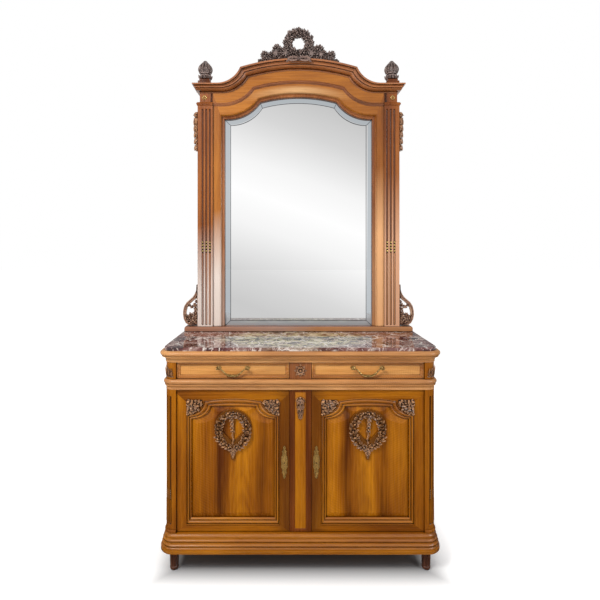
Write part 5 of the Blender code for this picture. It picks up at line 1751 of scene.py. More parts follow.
        stem = [
            self.place(
                0.006 - 0.008 * t, front + 0.001, start - 0.146 * t,
            ) for t in (0, 0.3, 0.6, 1.0)
        ]
        carving.tube(stem, [0.0032, 0.003, 0.0028, 0.0026], 6)
        low = self.top - self.tail_drop
        for i in range(5):
            at = self.place(0.0, front + 0.001, low - 0.009 * i)
            for sign in (-1, 1):
                way = self.way(sign * (0.95 - 0.2 * i), 0, -1)
                carving.leaf(at, way, OUT, 0.024 - 0.003 * i, 0.01 - 0.0008 * i, 0.55, 0.15)
        carving.become(f"wreath_{self.word}", self.palette["carved_walnut"], self.body, "carved")

    def on_plate(self, across: float, up: float) -> Vector:
        """A point on the brass plate, given from its middle."""
        x, z = self.side * (self.lock_x + across), self.lock_z + 0.003 + up
        return Vector((x, self.face - 0.0026, z))

    def build_plate(self) -> None:
        """Makes the pierced brass plate with its scrolls and the shield round the keyhole."""
        plate = Shape()
        at = self.on_plate
        for up, sign in ((0.052, 1), (-0.05, -1)):
            for side in (-1, 1):
                curl = []
                for i in range(13):
                    turn = radians(40 + 330 * i / 12)
                    reach = 0.0088 - 0.00045 * i
                    across = side * (0.0045 + reach * cos(turn))
                    rise = up - sign * 0.012 + sign * reach * 1.35 * sin(turn)
                    curl.append(at(across, rise))
                plate.tube(curl, [0.0015] * 13, 6)
            plate.acanthus(
                at(0, up - sign * 0.004), self.way(0, 0, sign), OUT, 0.024, 0.016, 2, 0.05,
            )
        for side in (-1, 1):
            bow = []
            for t in (0, 0.15, 0.35, 0.5, 0.65, 0.85, 1):
                across = side * (0.01 * sin(pi * t) + 0.002)
                bow.append(at(across, 0.04 - 0.072 * t))
            plate.tube(bow, [0.0012, 0.0018, 0.0022, 0.0024, 0.0022, 0.0018, 0.0012], 6)
        plate.turned(
            [(0.0038, 0.0), (0.0038, 0.0014), (0.0052, 0.002), (0.0068, 0.0014), (0.0074, 0.0)],
            at(0, -0.003), (0, -1, 0), 16,
        )
        plate.become(
            f"lock_plate_scrolls_{self.word}", self.palette["rubbed_brass"], self.body, "brass",
        )

    def build(self) -> None:
        """Makes every piece of the door."""
        self.build_frame()
        self.build_corners()
        self.build_wreath()
        self.build_plate()


@dataclass
class DrawerPull:
    """One drawer's swan-neck bail with its cast leaves, and the moulding round its front."""

    palette: Palette
    side: int
    word: str
    centre: float = 0.30275
    spacing: float = 0.124
    axis_y: float = -0.228
    axis_z: float = 0.9155
    drop: float = 0.037

    def build_bail(self) -> None:
        """Makes the bail: slim necks, a dip and a fuller leaf-cast belly."""
        reach = self.spacing / 2
        half = [(reach - 0.0004, 0.0, 0.0023), (reach - 0.006, 0.0, 0.0024)]
        neck = reach - 0.006
        half += [
            (neck - 0.003, -0.0006, 0.0028), (neck - 0.007, -0.0034, 0.0031),
            (neck - 0.012, -0.009, 0.0033),
        ]
        half += [
            (neck - 0.018, -0.0152, 0.0036), (neck - 0.024, -0.0212, 0.0041),
            (neck - 0.031, -0.0262, 0.0048),
        ]
        half += [(neck - 0.039, -0.0292, 0.0056), (0.006, -0.0304, 0.006)]
        line = half + [(-x, z, radius) for x, z, radius in reversed(half)]
        middle = self.side * self.centre
        shape = Shape()
        centres = [(middle + x, self.axis_y, self.axis_z + z) for x, z, _ in line]
        shape.tube(centres, [radius for _, _, radius in line], 12)
        for sign in (-1, 1):
            for i in range(3):
                at = Vector(
                    (middle + sign * (0.003 + 0.007 * i), self.axis_y - 0.0046, self.axis_z)
                )
                at.z += 0.0012 * i - 0.0304
                shape.leaf(at, Vector((sign, 0, 0.16 * i)), OUT, 0.013, 0.008, 0.4, 0.02)
        name = f"drawer_bail_{self.word}"
        shape.hold_in((None, None, self.axis_z - 0.0375), (None, None, None))
        shape.become(
            f"swan_bail_{self.word}", self.palette["aged_brass"], f"bail_{self.word}", "brass",
            [name],
        )

    def build_leaves(self) -> None:
        """Makes the cast leaves that point outwards from each post."""
        leaves = Shape()
        for sign in (-1, 1):
            at = Vector((self.side * self.centre + sign * self.spacing / 2, -0.2098, self.axis_z))
            for lean in (-0.7, 0.0, 0.7):
                way = Vector((sign, 0, lean + 0.15))
                leaves.leaf(at, way, OUT, 0.017 if lean == 0 else 0.012, 0.0075, 0.5, 0.05)
            leaves.leaf(at, Vector((-sign, 0, 0.5)), OUT, 0.01, 0.006, 0.5, 0.0)
            knob = Vector(
                (
                    self.side * self.centre + sign * (self.spacing / 2 + 0.0085), self.axis_y,
                    self.axis_z,
                )
            )
            leaves.bead(knob, 0.0052)
            leaves.bead(knob - Vector((sign * 0.006, 0, 0)), 0.0036)
        leaves.become(
            f"pull_leaves_{self.word}", self.palette["aged_brass"], f"drawer_{self.word}", "brass",
        )

    def build_edge(self) -> None:
        """Makes the mitred moulding round the drawer's front."""
        section = Section([(0.0, 0.0006)]).to((0.0006, -0.0007), (0.007, -0.0007), (0.0076, 0.0004))
        section.bow((0.013, 0.003), -0.16, 6).to((0.015, 0.003), (0.0158, 0.0052), (0.0158, 0.0068))
        section.to((0.0004, 0.0068))
        rings = []
        for inset, deep in section.points:
            low, high = 0.0507 + inset, 0.5548 - inset
            corners = [
                (low, 0.8697 + inset), (high, 0.8697 + inset), (high, 0.9433 - inset),
                (low, 0.9433 - inset),
            ]
            rings.append([(self.side * x, -0.215 + deep, z) for x, z in corners])
        shape = Shape().weave(rings, closed=True)
        shape.become(
            f"drawer_edge_{self.word}", self.palette["walnut_drawer_edge"], f"drawer_{self.word}",
            "walnut",
        )

    def build(self) -> None:
        """Makes the drawer's moulding, the bail and its leaves."""
        self.build_edge()
        self.build_bail()
        self.build_leaves()


@dataclass
class MirrorHead:
    """The mirror unit's frame, astragal, cornice and bevel, on one family of arched lines."""

    palette: Palette
    sill_top: float = 1.0379
    corner_rise: float = 1.115
    kink_half: float = 0.207
    kink_rise: float = 0.0925
    crown_rise: float = 0.028
    crown_gain: float = 0.18
    sight_half: float = 0.398
    sight_moulding: float = 0.0225
    flat_band: float = 0.043
    cornice_lift: float = 0.137
    cornice_height: float = 0.037
    cornice_reach: float = 0.052
    pilaster_inner: float = 0.4595
    pilaster_outer: float = 0.54
    frame_front: float = 0.174
    frame_back: float = 0.214
    glass_front: float = 0.203
    face: float = 0.174
    back: float = 0.253
    sweep_steps: int = 14
    crown_steps: int = 18

    def arch(
        self, end: float, shoulder: float, lift: float, spread: float, crown_lift: float,
    ) -> list[Point]:
        """A line of the head from its right end to its left end.

        Args:
            end: Half width at the ends.
            shoulder: Half width where the sweep starts.
            lift: Height over the sight line at the ends.
            spread: How far the kink stands outside the sight line's.
            crown_lift: Height over the sight line at the crown.

        Returns:
            Points that run level, sweep up, kink, arch over and mirror.
        """
        low = self.sill_top + self.corner_rise + lift
        crown = self.sill_top + self.corner_rise + self.kink_rise + self.crown_rise + crown_lift
        rise = self.crown_rise + spread * self.crown_gain
        kink_half, kink = self.kink_half + spread, crown - rise
        across, up = shoulder - kink_half, kink - low
        radius = (across * across + up * up) / (2 * up)
        sweep = acos((radius - up) / radius)
        start = -pi / 2
        ogee = arc(
            (shoulder, low + radius), (radius, radius), start, start - sweep, self.sweep_steps,
        )
        radius = (kink_half * kink_half + rise * rise) / (2 * rise)
        spread_turn = acos((radius - rise) / radius)
        start = pi / 2 - spread_turn
        over = arc((0, crown - radius), (radius, radius), start, pi / 2, self.crown_steps)
        half = [(end, low)] + ogee + over[1:]
        return half + [(-x, z) for x, z in reversed(half[:-1])]

    def sight(self, grow: float) -> list[Point]:
        """The sight line, or a line this far outside it."""
        shoulder = self.sight_half + min(grow * 0.3 - 0.013, grow - 0.0005)
        return self.arch(self.sight_half + grow, shoulder, grow, grow * 0.4, grow)

    def lower(self, end: float) -> list[Point]:
        """The cornice's lower edge."""
        return self.arch(end, self.sight_half + 0.014, self.cornice_lift, 0.063, self.cornice_lift)

    def upper(self, end: float) -> list[Point]:
        """The cornice's upper edge."""
        lift = self.cornice_lift + self.cornice_height
        return self.arch(end, self.sight_half + 0.034, lift, 0.101, lift + 0.009)

    def footed(self, line: Sequence[Point], low: float) -> list[Point]:
        """Carries a line down to a level at both ends."""
        return [(line[0][0], low), *line, (line[-1][0], low)]

    def build_frame(self) -> None:
        """Makes the arched frame with its rolled sight moulding."""
        low = self.sill_top + GAP
        edge = [(x, z - GAP) for x, z in self.lower(self.pilaster_inner - GAP)]
        sight, mould, rebate = self.sight(0), self.sight(self.sight_moulding), self.sight(0.009)
        front = self.frame_front
        lines = [(edge, front), (mould, front)]
        for stretch in (
            (0.0, 0.3, 0.0, 0.0005, -0.0052), (
                0.34, 0.84, 0.002, 0.012, 0.0095,
            ), (0.86, 1.0, 0.0125, 0.018, 0.0135),
        ):
            for share, deep in rolled(*stretch):
                lines.append((between(mould, sight, share), front + deep))
        lines += [(sight, self.glass_front - GAP), (rebate, self.glass_front - GAP)]
        lines += [(rebate, self.frame_back), (edge, self.frame_back)]
        drawn = [[(x, y, z) for x, z in self.footed(line, low)] for line, y in lines]
        shape = Shape().weave(drawn)
        material = self.palette["walnut_frame"]
        piece = shape.become(
            "moulded_mirror_frame", material, slot="walnut_figured", stands_for=["mirror_frame"],
        )
        for finish in ("walnut_head", "walnut_sight"):
            piece.data.materials.append(self.palette[finish])
        for face in piece.data.polygons:
            across, rise = abs(face.center.x), face.center.z - self.sill_top - self.corner_rise
            if face.center.y > front + 0.0016:
                face.material_index = 2
            elif rise > (across - self.sight_half) * 1.0 and rise > -0.02:
                face.material_index = 1

    def build_astragal(self) -> None:
        """Makes the rounded moulding that crosses the arch under the cornice."""
        start = self.sight_moulding + self.flat_band
        profile = Section([(0.0, 0.0)]).bow((0.003, 0.0032), 0.2, 4).to((0.005, 0.0034))
        profile.bow((0.015, 0.0036), -0.3, 8).to((0.016, 0.0022), (0.019, 0.0018), (0.019, -0.001))
        lines = []
        for rise, out in [*profile.points, (0.0, -0.001)]:
            lift = start + rise
            end = self.pilaster_inner - 0.0004
            line = self.arch(end, self.sight_half + lift * 0.1, lift, 0.46 * lift, lift)
            lines.append([(x, self.frame_front - out, z) for x, z in line])
        shape = Shape().weave(lines)
        shape.become("arch_astragal", self.palette["walnut_astragal"], slot="walnut_figured")

    def build_cornice(self) -> None:
        """Makes the cornice: fillet, hollow, roll and top fillet, with returns at the sides."""
        corner = self.pilaster_outer - 0.01
        profile = Section([(0.0, 0.04)]).bow((0.11, 0.18), 0.3, 5).to(
            (0.115, 0.08), (0.175, 0.11), (0.18, 0.3),
        )
        profile.bow((0.42, 0.6), -0.16, 7).to((0.425, 0.5), (0.485, 0.52), (0.49, 0.7))
        profile.bow((0.74, 0.86), 0.26, 7).to(
            (0.745, 0.74), (0.805, 0.76), (0.81, 0.985), (0.97, 1.0), (1.0, 0.985),
        )
        lines = []
        for share, out in profile.points:
            reach = self.cornice_reach * out
            half = corner + reach * 0.62
            line = between(self.lower(half), self.upper(half), share)
            drawn = [(x, self.face - reach, z) for x, z in line]
            ends = [(drawn[0][0], self.back, drawn[0][2]), (drawn[-1][0], self.back, drawn[-1][2])]
            lines.append([ends[0], *drawn, ends[1]])
        for share in (1.0, 0.0):
            half = corner - 0.01
            line = between(self.lower(half), self.upper(half), share)
            drawn = [(x, self.back, z) for x, z in line]
            lines.append([drawn[0], *drawn, drawn[-1]])
        shape = Shape().weave(lines)
        material = self.palette["walnut_cornice"]
        shape.become(
            "moulded_cornice", material, slot="walnut_dark", stands_for=["cornice"], sharp=30,
        )

    def build_bevel(self) -> None:
        """Makes the fine dark edge, a painted shade line, where the glass's bevel meets its flat,
        with dark lines at its mitres.
        """
        lines = []
        low = self.sill_top + 0.0263
        y = self.glass_front - 0.0016
        for grow, deep in (
            (-0.0285, 0.0004), (-0.0285, -0.0004), (-0.0318, -0.0004), (-0.0318, 0.0004),
        ):
            line = self.footed(self.sight(grow), low + (-grow - 0.0296))
            lines.append([(x, y + deep, z) for x, z in line])
        shape = Shape().weave(lines, closed=True)
        outer = self.footed(self.sight(-0.001), self.sill_top + 0.001)
        inner = self.footed(self.sight(-0.03), low)
        kink = self.sweep_steps + 1
        for place in (0, 1, 1 + kink, -2 - kink, -2, -1):
            (x1, z1), (x2, z2) = outer[place], inner[place]
            shape.tube([(x1, self.glass_front - GAP, z1), (x2, y, z2)], [0.0013, 0.0013], 6, 0.5)
        shape.become("bevel_shade_line", self.palette["painted_bevel_shade"], slot="glass")

    def build(self) -> None:
        """Makes the frame, the astragal, the cornice and the glass's bevel."""
        self.build_frame()
        self.build_astragal()
        self.build_cornice()
        self.build_bevel()


@dataclass
class Pilaster:
    """One fluted pilaster with its capital band, diamond, beads, ribbon drop and bracket."""

    palette: Palette
    side: int
    word: str
    inner: float = 0.4595
    outer: float = 0.54
    front: float = 0.164
    back: float = 0.253
    foot: float = 1.0382
    band: float = 2.2184
    head: float = 2.2896
    flute_middle: float = 0.4935
    flute_gap: float = 0.0195
    flute_half: float = 0.0056
    flute_depth: float = 0.0052
    drop_loops: int = 5
    drop_pitch: float = 0.0375
    eye_x: float = 0.572
    eye_z: float = 1.08

    def ring(self, level: float, out: float, sunk: float) -> Levels:
        """One level of the shaft, with three round flutes where it is sunk.

        Args:
            level: Height of the level.
            out: How far the shaft stands outside its plain size.
            sunk: Depth of the flutes.

        Returns:
            The outline's points.
        """
        front = self.front - out
        points = [(self.inner, self.back), (self.inner, front)]
        for i in range(3):
            x = self.flute_middle + (i - 1) * self.flute_gap
            for across, deep in flute():
                points.append((x + self.flute_half * across, front + sunk * deep))
        points += [(self.outer + out, front), (self.outer + out, self.back)]
        return [(self.side * x, y, level) for x, y in points]

    def build_shaft(self) -> None:
        """Makes the shaft with its capital band and block."""
        levels = [(self.foot, 0.0, 0.0)]
        levels += fluted(self.foot + 0.007, self.band - 0.022, self.flute_depth)
        levels.append((self.band - 0.001, 0.0, 0.0))
        profile = Section([(0.0, 0.0)]).bow((0.004, 0.0042), 0.2, 4).to((0.0065, 0.0042))
        profile.bow((0.015, 0.0044), -0.26, 6).to((0.0165, 0.0026), (0.019, 0.002))
        levels += [(self.band + up, out, 0.0) for up, out in profile.points]
        levels += [(self.band + 0.0205, -0.01, 0.0), (self.head, -0.01, 0.0)]
        shape = Shape().loft([self.ring(*level) for level in levels])
        name = f"pilaster_{self.word}"
        shape.become(
            f"fluted_{name}", self.palette["walnut_pilaster"], slot="walnut_dark",
            stands_for=[name],
        )

    def build_flutes(self) -> None:
        """Makes the rods in the lower flutes and the beads over them."""
        rods, beads = Shape(), Shape()
        for i in range(3):
            x = self.side * (self.flute_middle + (i - 1) * self.flute_gap)
            at = Vector((x, self.front + 0.003, 0))
            rods.tube(
                [
                    at + Vector((0, 0, 1.05)), at + Vector((0, 0, 1.429)),
                    at + Vector((0, 0, 1.4315)),
                ],
                [0.0042, 0.0042, 0.003], 10,
            )
            for k in range(4):
                beads.bead(at + Vector((0, -0.0022, 1.442 + 0.0155 * k)), 0.0056)
        rods.become(f"flute_rods_{self.word}", self.palette["walnut_rod"], slot="walnut_dark")
        beads.become(f"flute_beads_{self.word}", self.palette["gilt_beads"], slot="brass")

    def build_diamond(self) -> None:
        """Makes the gilt hollow diamond on the block under the cornice."""
        shape = Shape()
        y = self.front + 0.0085
        middle = Vector((self.side * 0.505, y, 2.264))
        rings = []
        for reach, out in ((0.0155, 0.0012), (0.013, -0.0016), (0.0095, -0.001), (0.0075, 0.0012)):
            corners = [(reach, 0), (0, reach), (-reach, 0), (0, -reach)]
            rings.append([middle + Vector((x, out, z)) for x, z in corners])
        shape.weave(rings, closed=True)
        shape.become(f"gilt_diamond_{self.word}", self.palette["gilt_beads"], slot="brass")
        strips = Shape()
        for x in (0.464, 0.47):
            low = (self.side * x - 0.0018, y - 0.002, self.band + 0.0215)
            strips.block(low, (self.side * x + 0.0018, y + 0.002, self.head), 0.001)
        strips.become(f"block_strips_{self.word}", self.palette["walnut_red"], slot="walnut_dark")

    def build_drop(self) -> None:
        """Makes the ribbon drop: a knob over a chain of twisted loops."""
        shape = Shape()
        x, y = self.side * (self.outer + 0.0085), self.front + 0.021
        top = self.band - 0.029
        shape.bead((x, y, top - 0.014), 0.0165)
        for i in range(8):
            turn = 2 * pi * i / 8
            way = Vector((cos(turn), sin(turn), 0.0))
            shape.leaf(
                Vector((x, y, top - 0.003)), way + Vector((0, 0, -0.9)), way, 0.026, 0.013, 0.4,
                0.1,
            )
        for k in range(self.drop_loops):
            foot = top - 0.026 - self.drop_pitch * k
            size = 1.0 - 0.07 * k
            shape.tube(
                [(x, y + 0.002, foot + 0.01), (x, y + 0.002, foot - 0.034)],
                [0.009 * size, 0.006 * size], 8,
            )
            for turn in (-90, -35, 35, -145, 145, 90):
                turn = radians(turn)
                way = Vector((self.side * cos(turn), sin(turn), 0))
                at = Vector((x, y, foot)) + way * 0.004
                shape.leaf(
                    at, way * 0.42 + Vector((0, 0, -1)), way, 0.046 * size, 0.0185 * size, 0.5,
                    -0.1,
                )
            for sign in (-1, 1):
                curl = []
                for i in range(7):
                    share = i / 6
                    across = sign * self.side * cos(pi * share) * 0.0135 * size
                    curl.append(
                        (
                            x + across, y - 0.006 - 0.006 * sin(pi * share),
                            foot - 0.004 - 0.026 * share,
                        )
                    )
                radii = [0.002 + 0.0022 * sin(pi * i / 6) for i in range(7)]
                shape.tube(curl, radii, 8, 0.8)
        shape.become(f"ribbon_drop_{self.word}", self.palette["carved_dark"], slot="carved")

    @property
    def bracket_middle(self) -> float:
        """Depth at which the bracket's middle plane stands."""
        return self.front + 0.03

    def on_bracket(self, x: float, z: float, lift: float = 0.0) -> Vector:
        """A point on the bracket's front, raised towards the viewer."""
        return Vector((self.side * x, self.bracket_middle - 0.006 - lift, z))

    def build_scroll(self) -> None:
        """Makes the bracket's pierced rim as one curved bar."""
        middle = self.bracket_middle
        path = [(0.5455, 1.26), (0.5465, 1.23), (0.552, 1.206), (0.564, 1.188), (0.58, 1.174)]
        path += [(0.596, 1.16), (0.608, 1.142), (0.614, 1.12), (0.615, 1.098), (0.611, 1.077)]
        path += [(0.601, 1.059), (0.586, 1.049), (0.568, 1.046), (0.552, 1.049)]
        rim = Shape()
        stations = []
        points = [Vector((self.side * x, 0, z)) for x, z in path]
        for i, point in enumerate(points):
            before, after = points[max(i - 1, 0)], points[min(i + 1, len(points) - 1)]
            along = (after - before).normalized()
            across = Vector((along.z, 0, -along.x)) * self.side
            wide = 0.0092 if 1 < i < len(points) - 2 else 0.006
            ring = []
            for u, v in (
                (-1, 0.6), (-1, -0.55), (-0.55, -1), (-0.25, -0.72), (0.25, -0.72), (0.55, -1),
                (1, -0.55), (1, 0.6), (0.6, 1), (-0.6, 1),
            ):
                spot = point + across * (wide * u)
                ring.append((spot.x, middle + 0.017 * v, spot.z))
            stations.append(ring)
        rim.loft(stations)
        rim.hold_in((None, None, self.foot), (None, None, None))
        rim.become(
            f"bracket_scroll_{self.word}", self.palette["carved_bracket"], slot="carved",
            stands_for=[f"scroll_bracket_{self.word}"],
        )

    def build_bracket(self) -> None:
        """Makes the web, the leaves and the scroll that fill the bracket's rim."""
        middle = self.bracket_middle
        leaves = Shape()

        at = self.on_bracket
        belly = [
            (-0.0, 0.0), (0.048, 0.004), (0.06, 0.022), (0.058, 0.048), (0.04, 0.06), (0.02, 0.052),
            (0.0, 0.07),
        ]
        leaves.loft([
            [(self.side * (0.546 + x), middle + y, 1.044 + z) for x, z in belly]
            for y in (0.002, 0.008)
        ])
        for seed, (x, z, size, lean) in enumerate((
            (0.554, 1.058, 0.018, 0.6), (0.574, 1.06, 0.018, 0.5), (0.59, 1.07, 0.016, 0.2),
            (0.596, 1.088, 0.013, -0.2), (0.554, 1.084, 0.018, 0.6), (0.58, 1.098, 0.013, -0.6),
            (0.552, 1.106, 0.016, 0.5), (0.552, 1.128, 0.014, 0.6), (0.556, 1.148, 0.013, 0.7),
            (0.548, 1.168, 0.011, 0.4), (0.574, 1.14, 0.011, 0.9), (0.588, 1.148, 0.009, 0.9),
            (0.547, 1.188, 0.008, 0.2),
        )):
            leaves.tuft(at(x, z), size, Vector((self.side * lean, 0, 1.0)), 11, seed, 0.1)
        curl = []
        for i in range(17):
            turn = radians(-80 + 480 * i / 16)
            reach = 0.02 - 0.00095 * i
            across, up = reach * cos(turn), reach * sin(turn)
            curl.append(at(self.eye_x + across, self.eye_z + up, 0.002))
        leaves.tube(curl, [0.0045 - 0.00012 * i for i in range(17)], 8)
        leaves.bead(at(self.eye_x, self.eye_z, 0.003), 0.0062)
        low = (min(self.side * 0.5406, self.side * 0.548), middle - 0.01, self.foot)
        high = (max(self.side * 0.5406, self.side * 0.548), middle + 0.016, 1.215)
        leaves.block(low, high, 0.0015)
        leaves.hold_in((None, None, self.foot), (None, None, None))
        leaves.become(f"bracket_leaves_{self.word}", self.palette["carved_bracket"], slot="carved")

    def build(self) -> None:
        """Makes every piece of the pilaster and its bracket."""
        self.build_shaft()
        self.build_flutes()
        self.build_diamond()
        self.build_drop()
        self.build_scroll()
        self.build_bracket()


@dataclass
class Finial:
    """A carved finial: a block, a cup of leaves, a neck bead and a bud of long scales."""

    palette: Palette
    side: int
    word: str
    x: float = 0.5
    y: float = 0.1745
    base: float = 2.3272
    half: float = 0.0345
    block: float = 0.03
    height: float = 0.107

    def build(self) -> None:
        """Makes the finial."""
        centre = Vector((self.side * self.x, self.y, 0))
        low = self.base + self.block
        block = Shape()
        for wide, start, stop, easing in ((1.0, 0.0, 0.62, 0.0022), (0.8, 0.6, 1.0, 0.0018)):
            half = self.half * wide
            foot, top = self.base + self.block * start, self.base + self.block * stop
            block.block(
                centre + Vector((-half, -half, foot)), centre + Vector((half, half, top)), easing,
            )
        block.become(f"finial_block_{self.word}", self.palette["walnut_red"], slot="walnut_dark")
        bud = Shape()
        profile = [
            (0.0, 0.0), (0.022, 0.0), (0.028, 0.006), (0.03, 0.016), (0.026, 0.026), (0.0235, 0.03),
        ]
        profile += [
            (0.0285, 0.0325), (0.0285, 0.035), (0.03, 0.039), (0.0345, 0.048), (0.0345, 0.058),
        ]
        profile += [(0.03, 0.07), (0.022, 0.083), (0.011, 0.096), (0.0, 0.106)]
        bud.turned(profile, centre + Vector((0, 0, low)), (0, 0, 1), 20)
        rows = [(12, 0.002, 0.0235, 0.026, 0.015, 0.42, 0.2)]
        for rise, ring, lean in (
            (0.036, 0.027, 0.34), (0.046, 0.033, 0.06), (0.057, 0.0335, -0.26),
            (0.068, 0.029, -0.55), (0.079, 0.0215, -0.8), (0.088, 0.0135, -0.8),
        ):
            rows.append((14 if ring > 0.02 else 9, rise, ring, 0.0215, 0.0125, lean, 0.05))
        for count, start, ring, length, width, lean, curl in rows:
            for i in range(count):
                turn = 2 * pi * i / count
                way = Vector((cos(turn), sin(turn), 0))
                at = centre + way * ring + Vector((0, 0, low + start))
                bud.leaf(at, UP + way * lean, way, length, width, 0.6, curl, 0.4)
        limit = self.base + self.block + self.height
        bud.hold_in((None, None, self.base), (None, None, limit))
        name = f"finial_{self.word}"
        bud.become(f"{name}_bud", self.palette["carved_crest"], slot="carved", stands_for=[name])


@dataclass
class Crest:
    """The carved crest: an open wreath between sprays of leaves, tied by a ribbon."""

    palette: Palette
    crown: float = 2.4564
    curve: float = 1.05
    y: float = 0.157
    front: float = 0.122
    wreath_rise: float = 0.0905
    wreath_radius: float = 0.058
    limit: float = 2.6322

    def seat(self, x: float) -> float:
        """Height of the cornice's top under the crest."""
        return self.crown - self.curve + sqrt(self.curve * self.curve - x * x)

    def build_wreath(self, carving: Shape) -> None:
        """Adds the wreath's leaves and berries.

        Args:
            carving: The crest's shape.
        """
        middle = Vector((0, self.y, self.crown + self.wreath_rise))
        for side in (-1, 1):
            for i in range(9):
                turn = radians(-86 + 172 * i / 8)
                radial = Vector((side * cos(turn), 0, sin(turn)))
                along = Vector((-side * sin(turn), 0, cos(turn)))
                wave = 1.0 + 0.07 * sin(2.4 * i + side)
                at = middle + radial * self.wreath_radius
                carving.tuft(at, 0.0245 * wave, along, 26, 3 * i + side, 0.6)
                if i % 2:
                    carving.bead(at + radial * 0.006 + Vector((0, -0.0215, 0)), 0.0046)

    def build_sprays(self, carving: Shape) -> None:
        """Adds the falling sprays, a little different left and right as in hand carving.

        Args:
            carving: The crest's shape.
        """
        lumps = [
            (
                -0.205, 2.464, 0.015,
            ), (-0.182, 2.509, 0.021), (-0.16, 2.494, 0.018), (-0.14, 2.506, 0.018),
            (
                -0.118, 2.541, 0.024,
            ), (-0.094, 2.528, 0.022), (-0.068, 2.53, 0.023), (-0.034, 2.508, 0.02),
            (0.0, 2.514, 0.019), (0.034, 2.508, 0.02), (0.066, 2.532, 0.023), (0.09, 2.532, 0.022),
            (0.112, 2.54, 0.023), (
                0.134, 2.512, 0.019,
            ), (0.152, 2.494, 0.018), (0.175, 2.505, 0.023),
            (0.201, 2.466, 0.015),
        ]
        for seed, (x, tip, size) in enumerate(lumps):
            lead = Vector((1.6 * x, 0, 1))
            low = self.seat(x) + 0.01
            middle = tip - size * 1.2
            while middle > low - 0.012:
                at = Vector((x - 1.6 * x * (tip - middle) * 0.3, self.y, max(middle, low)))
                carving.tuft(at, size, lead, 22, seed, 0.6)
                middle -= size * 1.25
        for x, z, size in (
            (-0.07, 2.486, 0.019), (0.068, 2.484, 0.018), (-0.122, 2.482, 0.016),
            (0.118, 2.478, 0.015),
        ):
            carving.rosette(Vector((x, self.y - 0.026, z)), OUT, size, 7)
        foot = [
            (x, self.y, self.seat(x) + 0.005) for x in [-0.214 + 0.428 * i / 24 for i in range(25)]
        ]
        carving.tube(foot, [0.0052] * 25, 8, 2.2)

    def build_ribbon(self) -> None:
        """Makes the ribbon's bow, which hangs over the cornice's top edge."""
        ribbon = Shape()
        y = self.front - 0.004
        for side, wide, drop in ((-1, 0.05, 0.02), (1, 0.052, 0.021)):
            loop = []
            for i in range(15):
                turn = pi * 2 * i / 14
                reach = wide * 0.5 * (1 - cos(turn))
                rise = 0.45 * drop * sin(turn) - reach * 0.08
                loop.append(
                    (side * (0.004 + reach), y - 0.004 * sin(turn / 2), self.crown - 0.004 + rise)
                )
            radii = [0.005 + 0.0014 * sin(pi * i / 14) for i in range(15)]
            ribbon.tube(loop, radii, 8, 0.6)
            for x, z, lean in (
                (0.014, 0.0, 0.4), (0.026, -0.002, 0.1), (0.038, -0.004, -0.3),
                (0.05, -0.008, -0.8),
            ):
                way = Vector((side, 0, lean))
                ribbon.leaf(
                    Vector((side * x, y - 0.003, self.crown - 0.004 + z)), way, OUT, 0.022, 0.013,
                    0.5, 0.12,
                )
        ribbon.rosette(Vector((0, y - 0.002, self.crown - 0.007)), OUT, 0.012, 6)
        back = [
            (0.0, self.front + 0.004, self.crown + 0.003), (0.0, self.y - 0.01, self.crown + 0.012),
        ]
        ribbon.tube(back, [0.01, 0.01], 8, 0.6)
        ribbon.become("ribbon_bow", self.palette["carved_bow"], slot="carved")

    def build(self) -> None:
        """Makes the crest."""
        carving = Shape()
        self.build_wreath(carving)
        self.build_sprays(carving)
        carving.hold_in((-0.217, 0.128, None), (0.217, 0.19, self.limit))
        carving.become(
            "carved_crest", self.palette["carved_crest"], slot="carved", stands_for=["crest"],
        )
        self.build_ribbon()


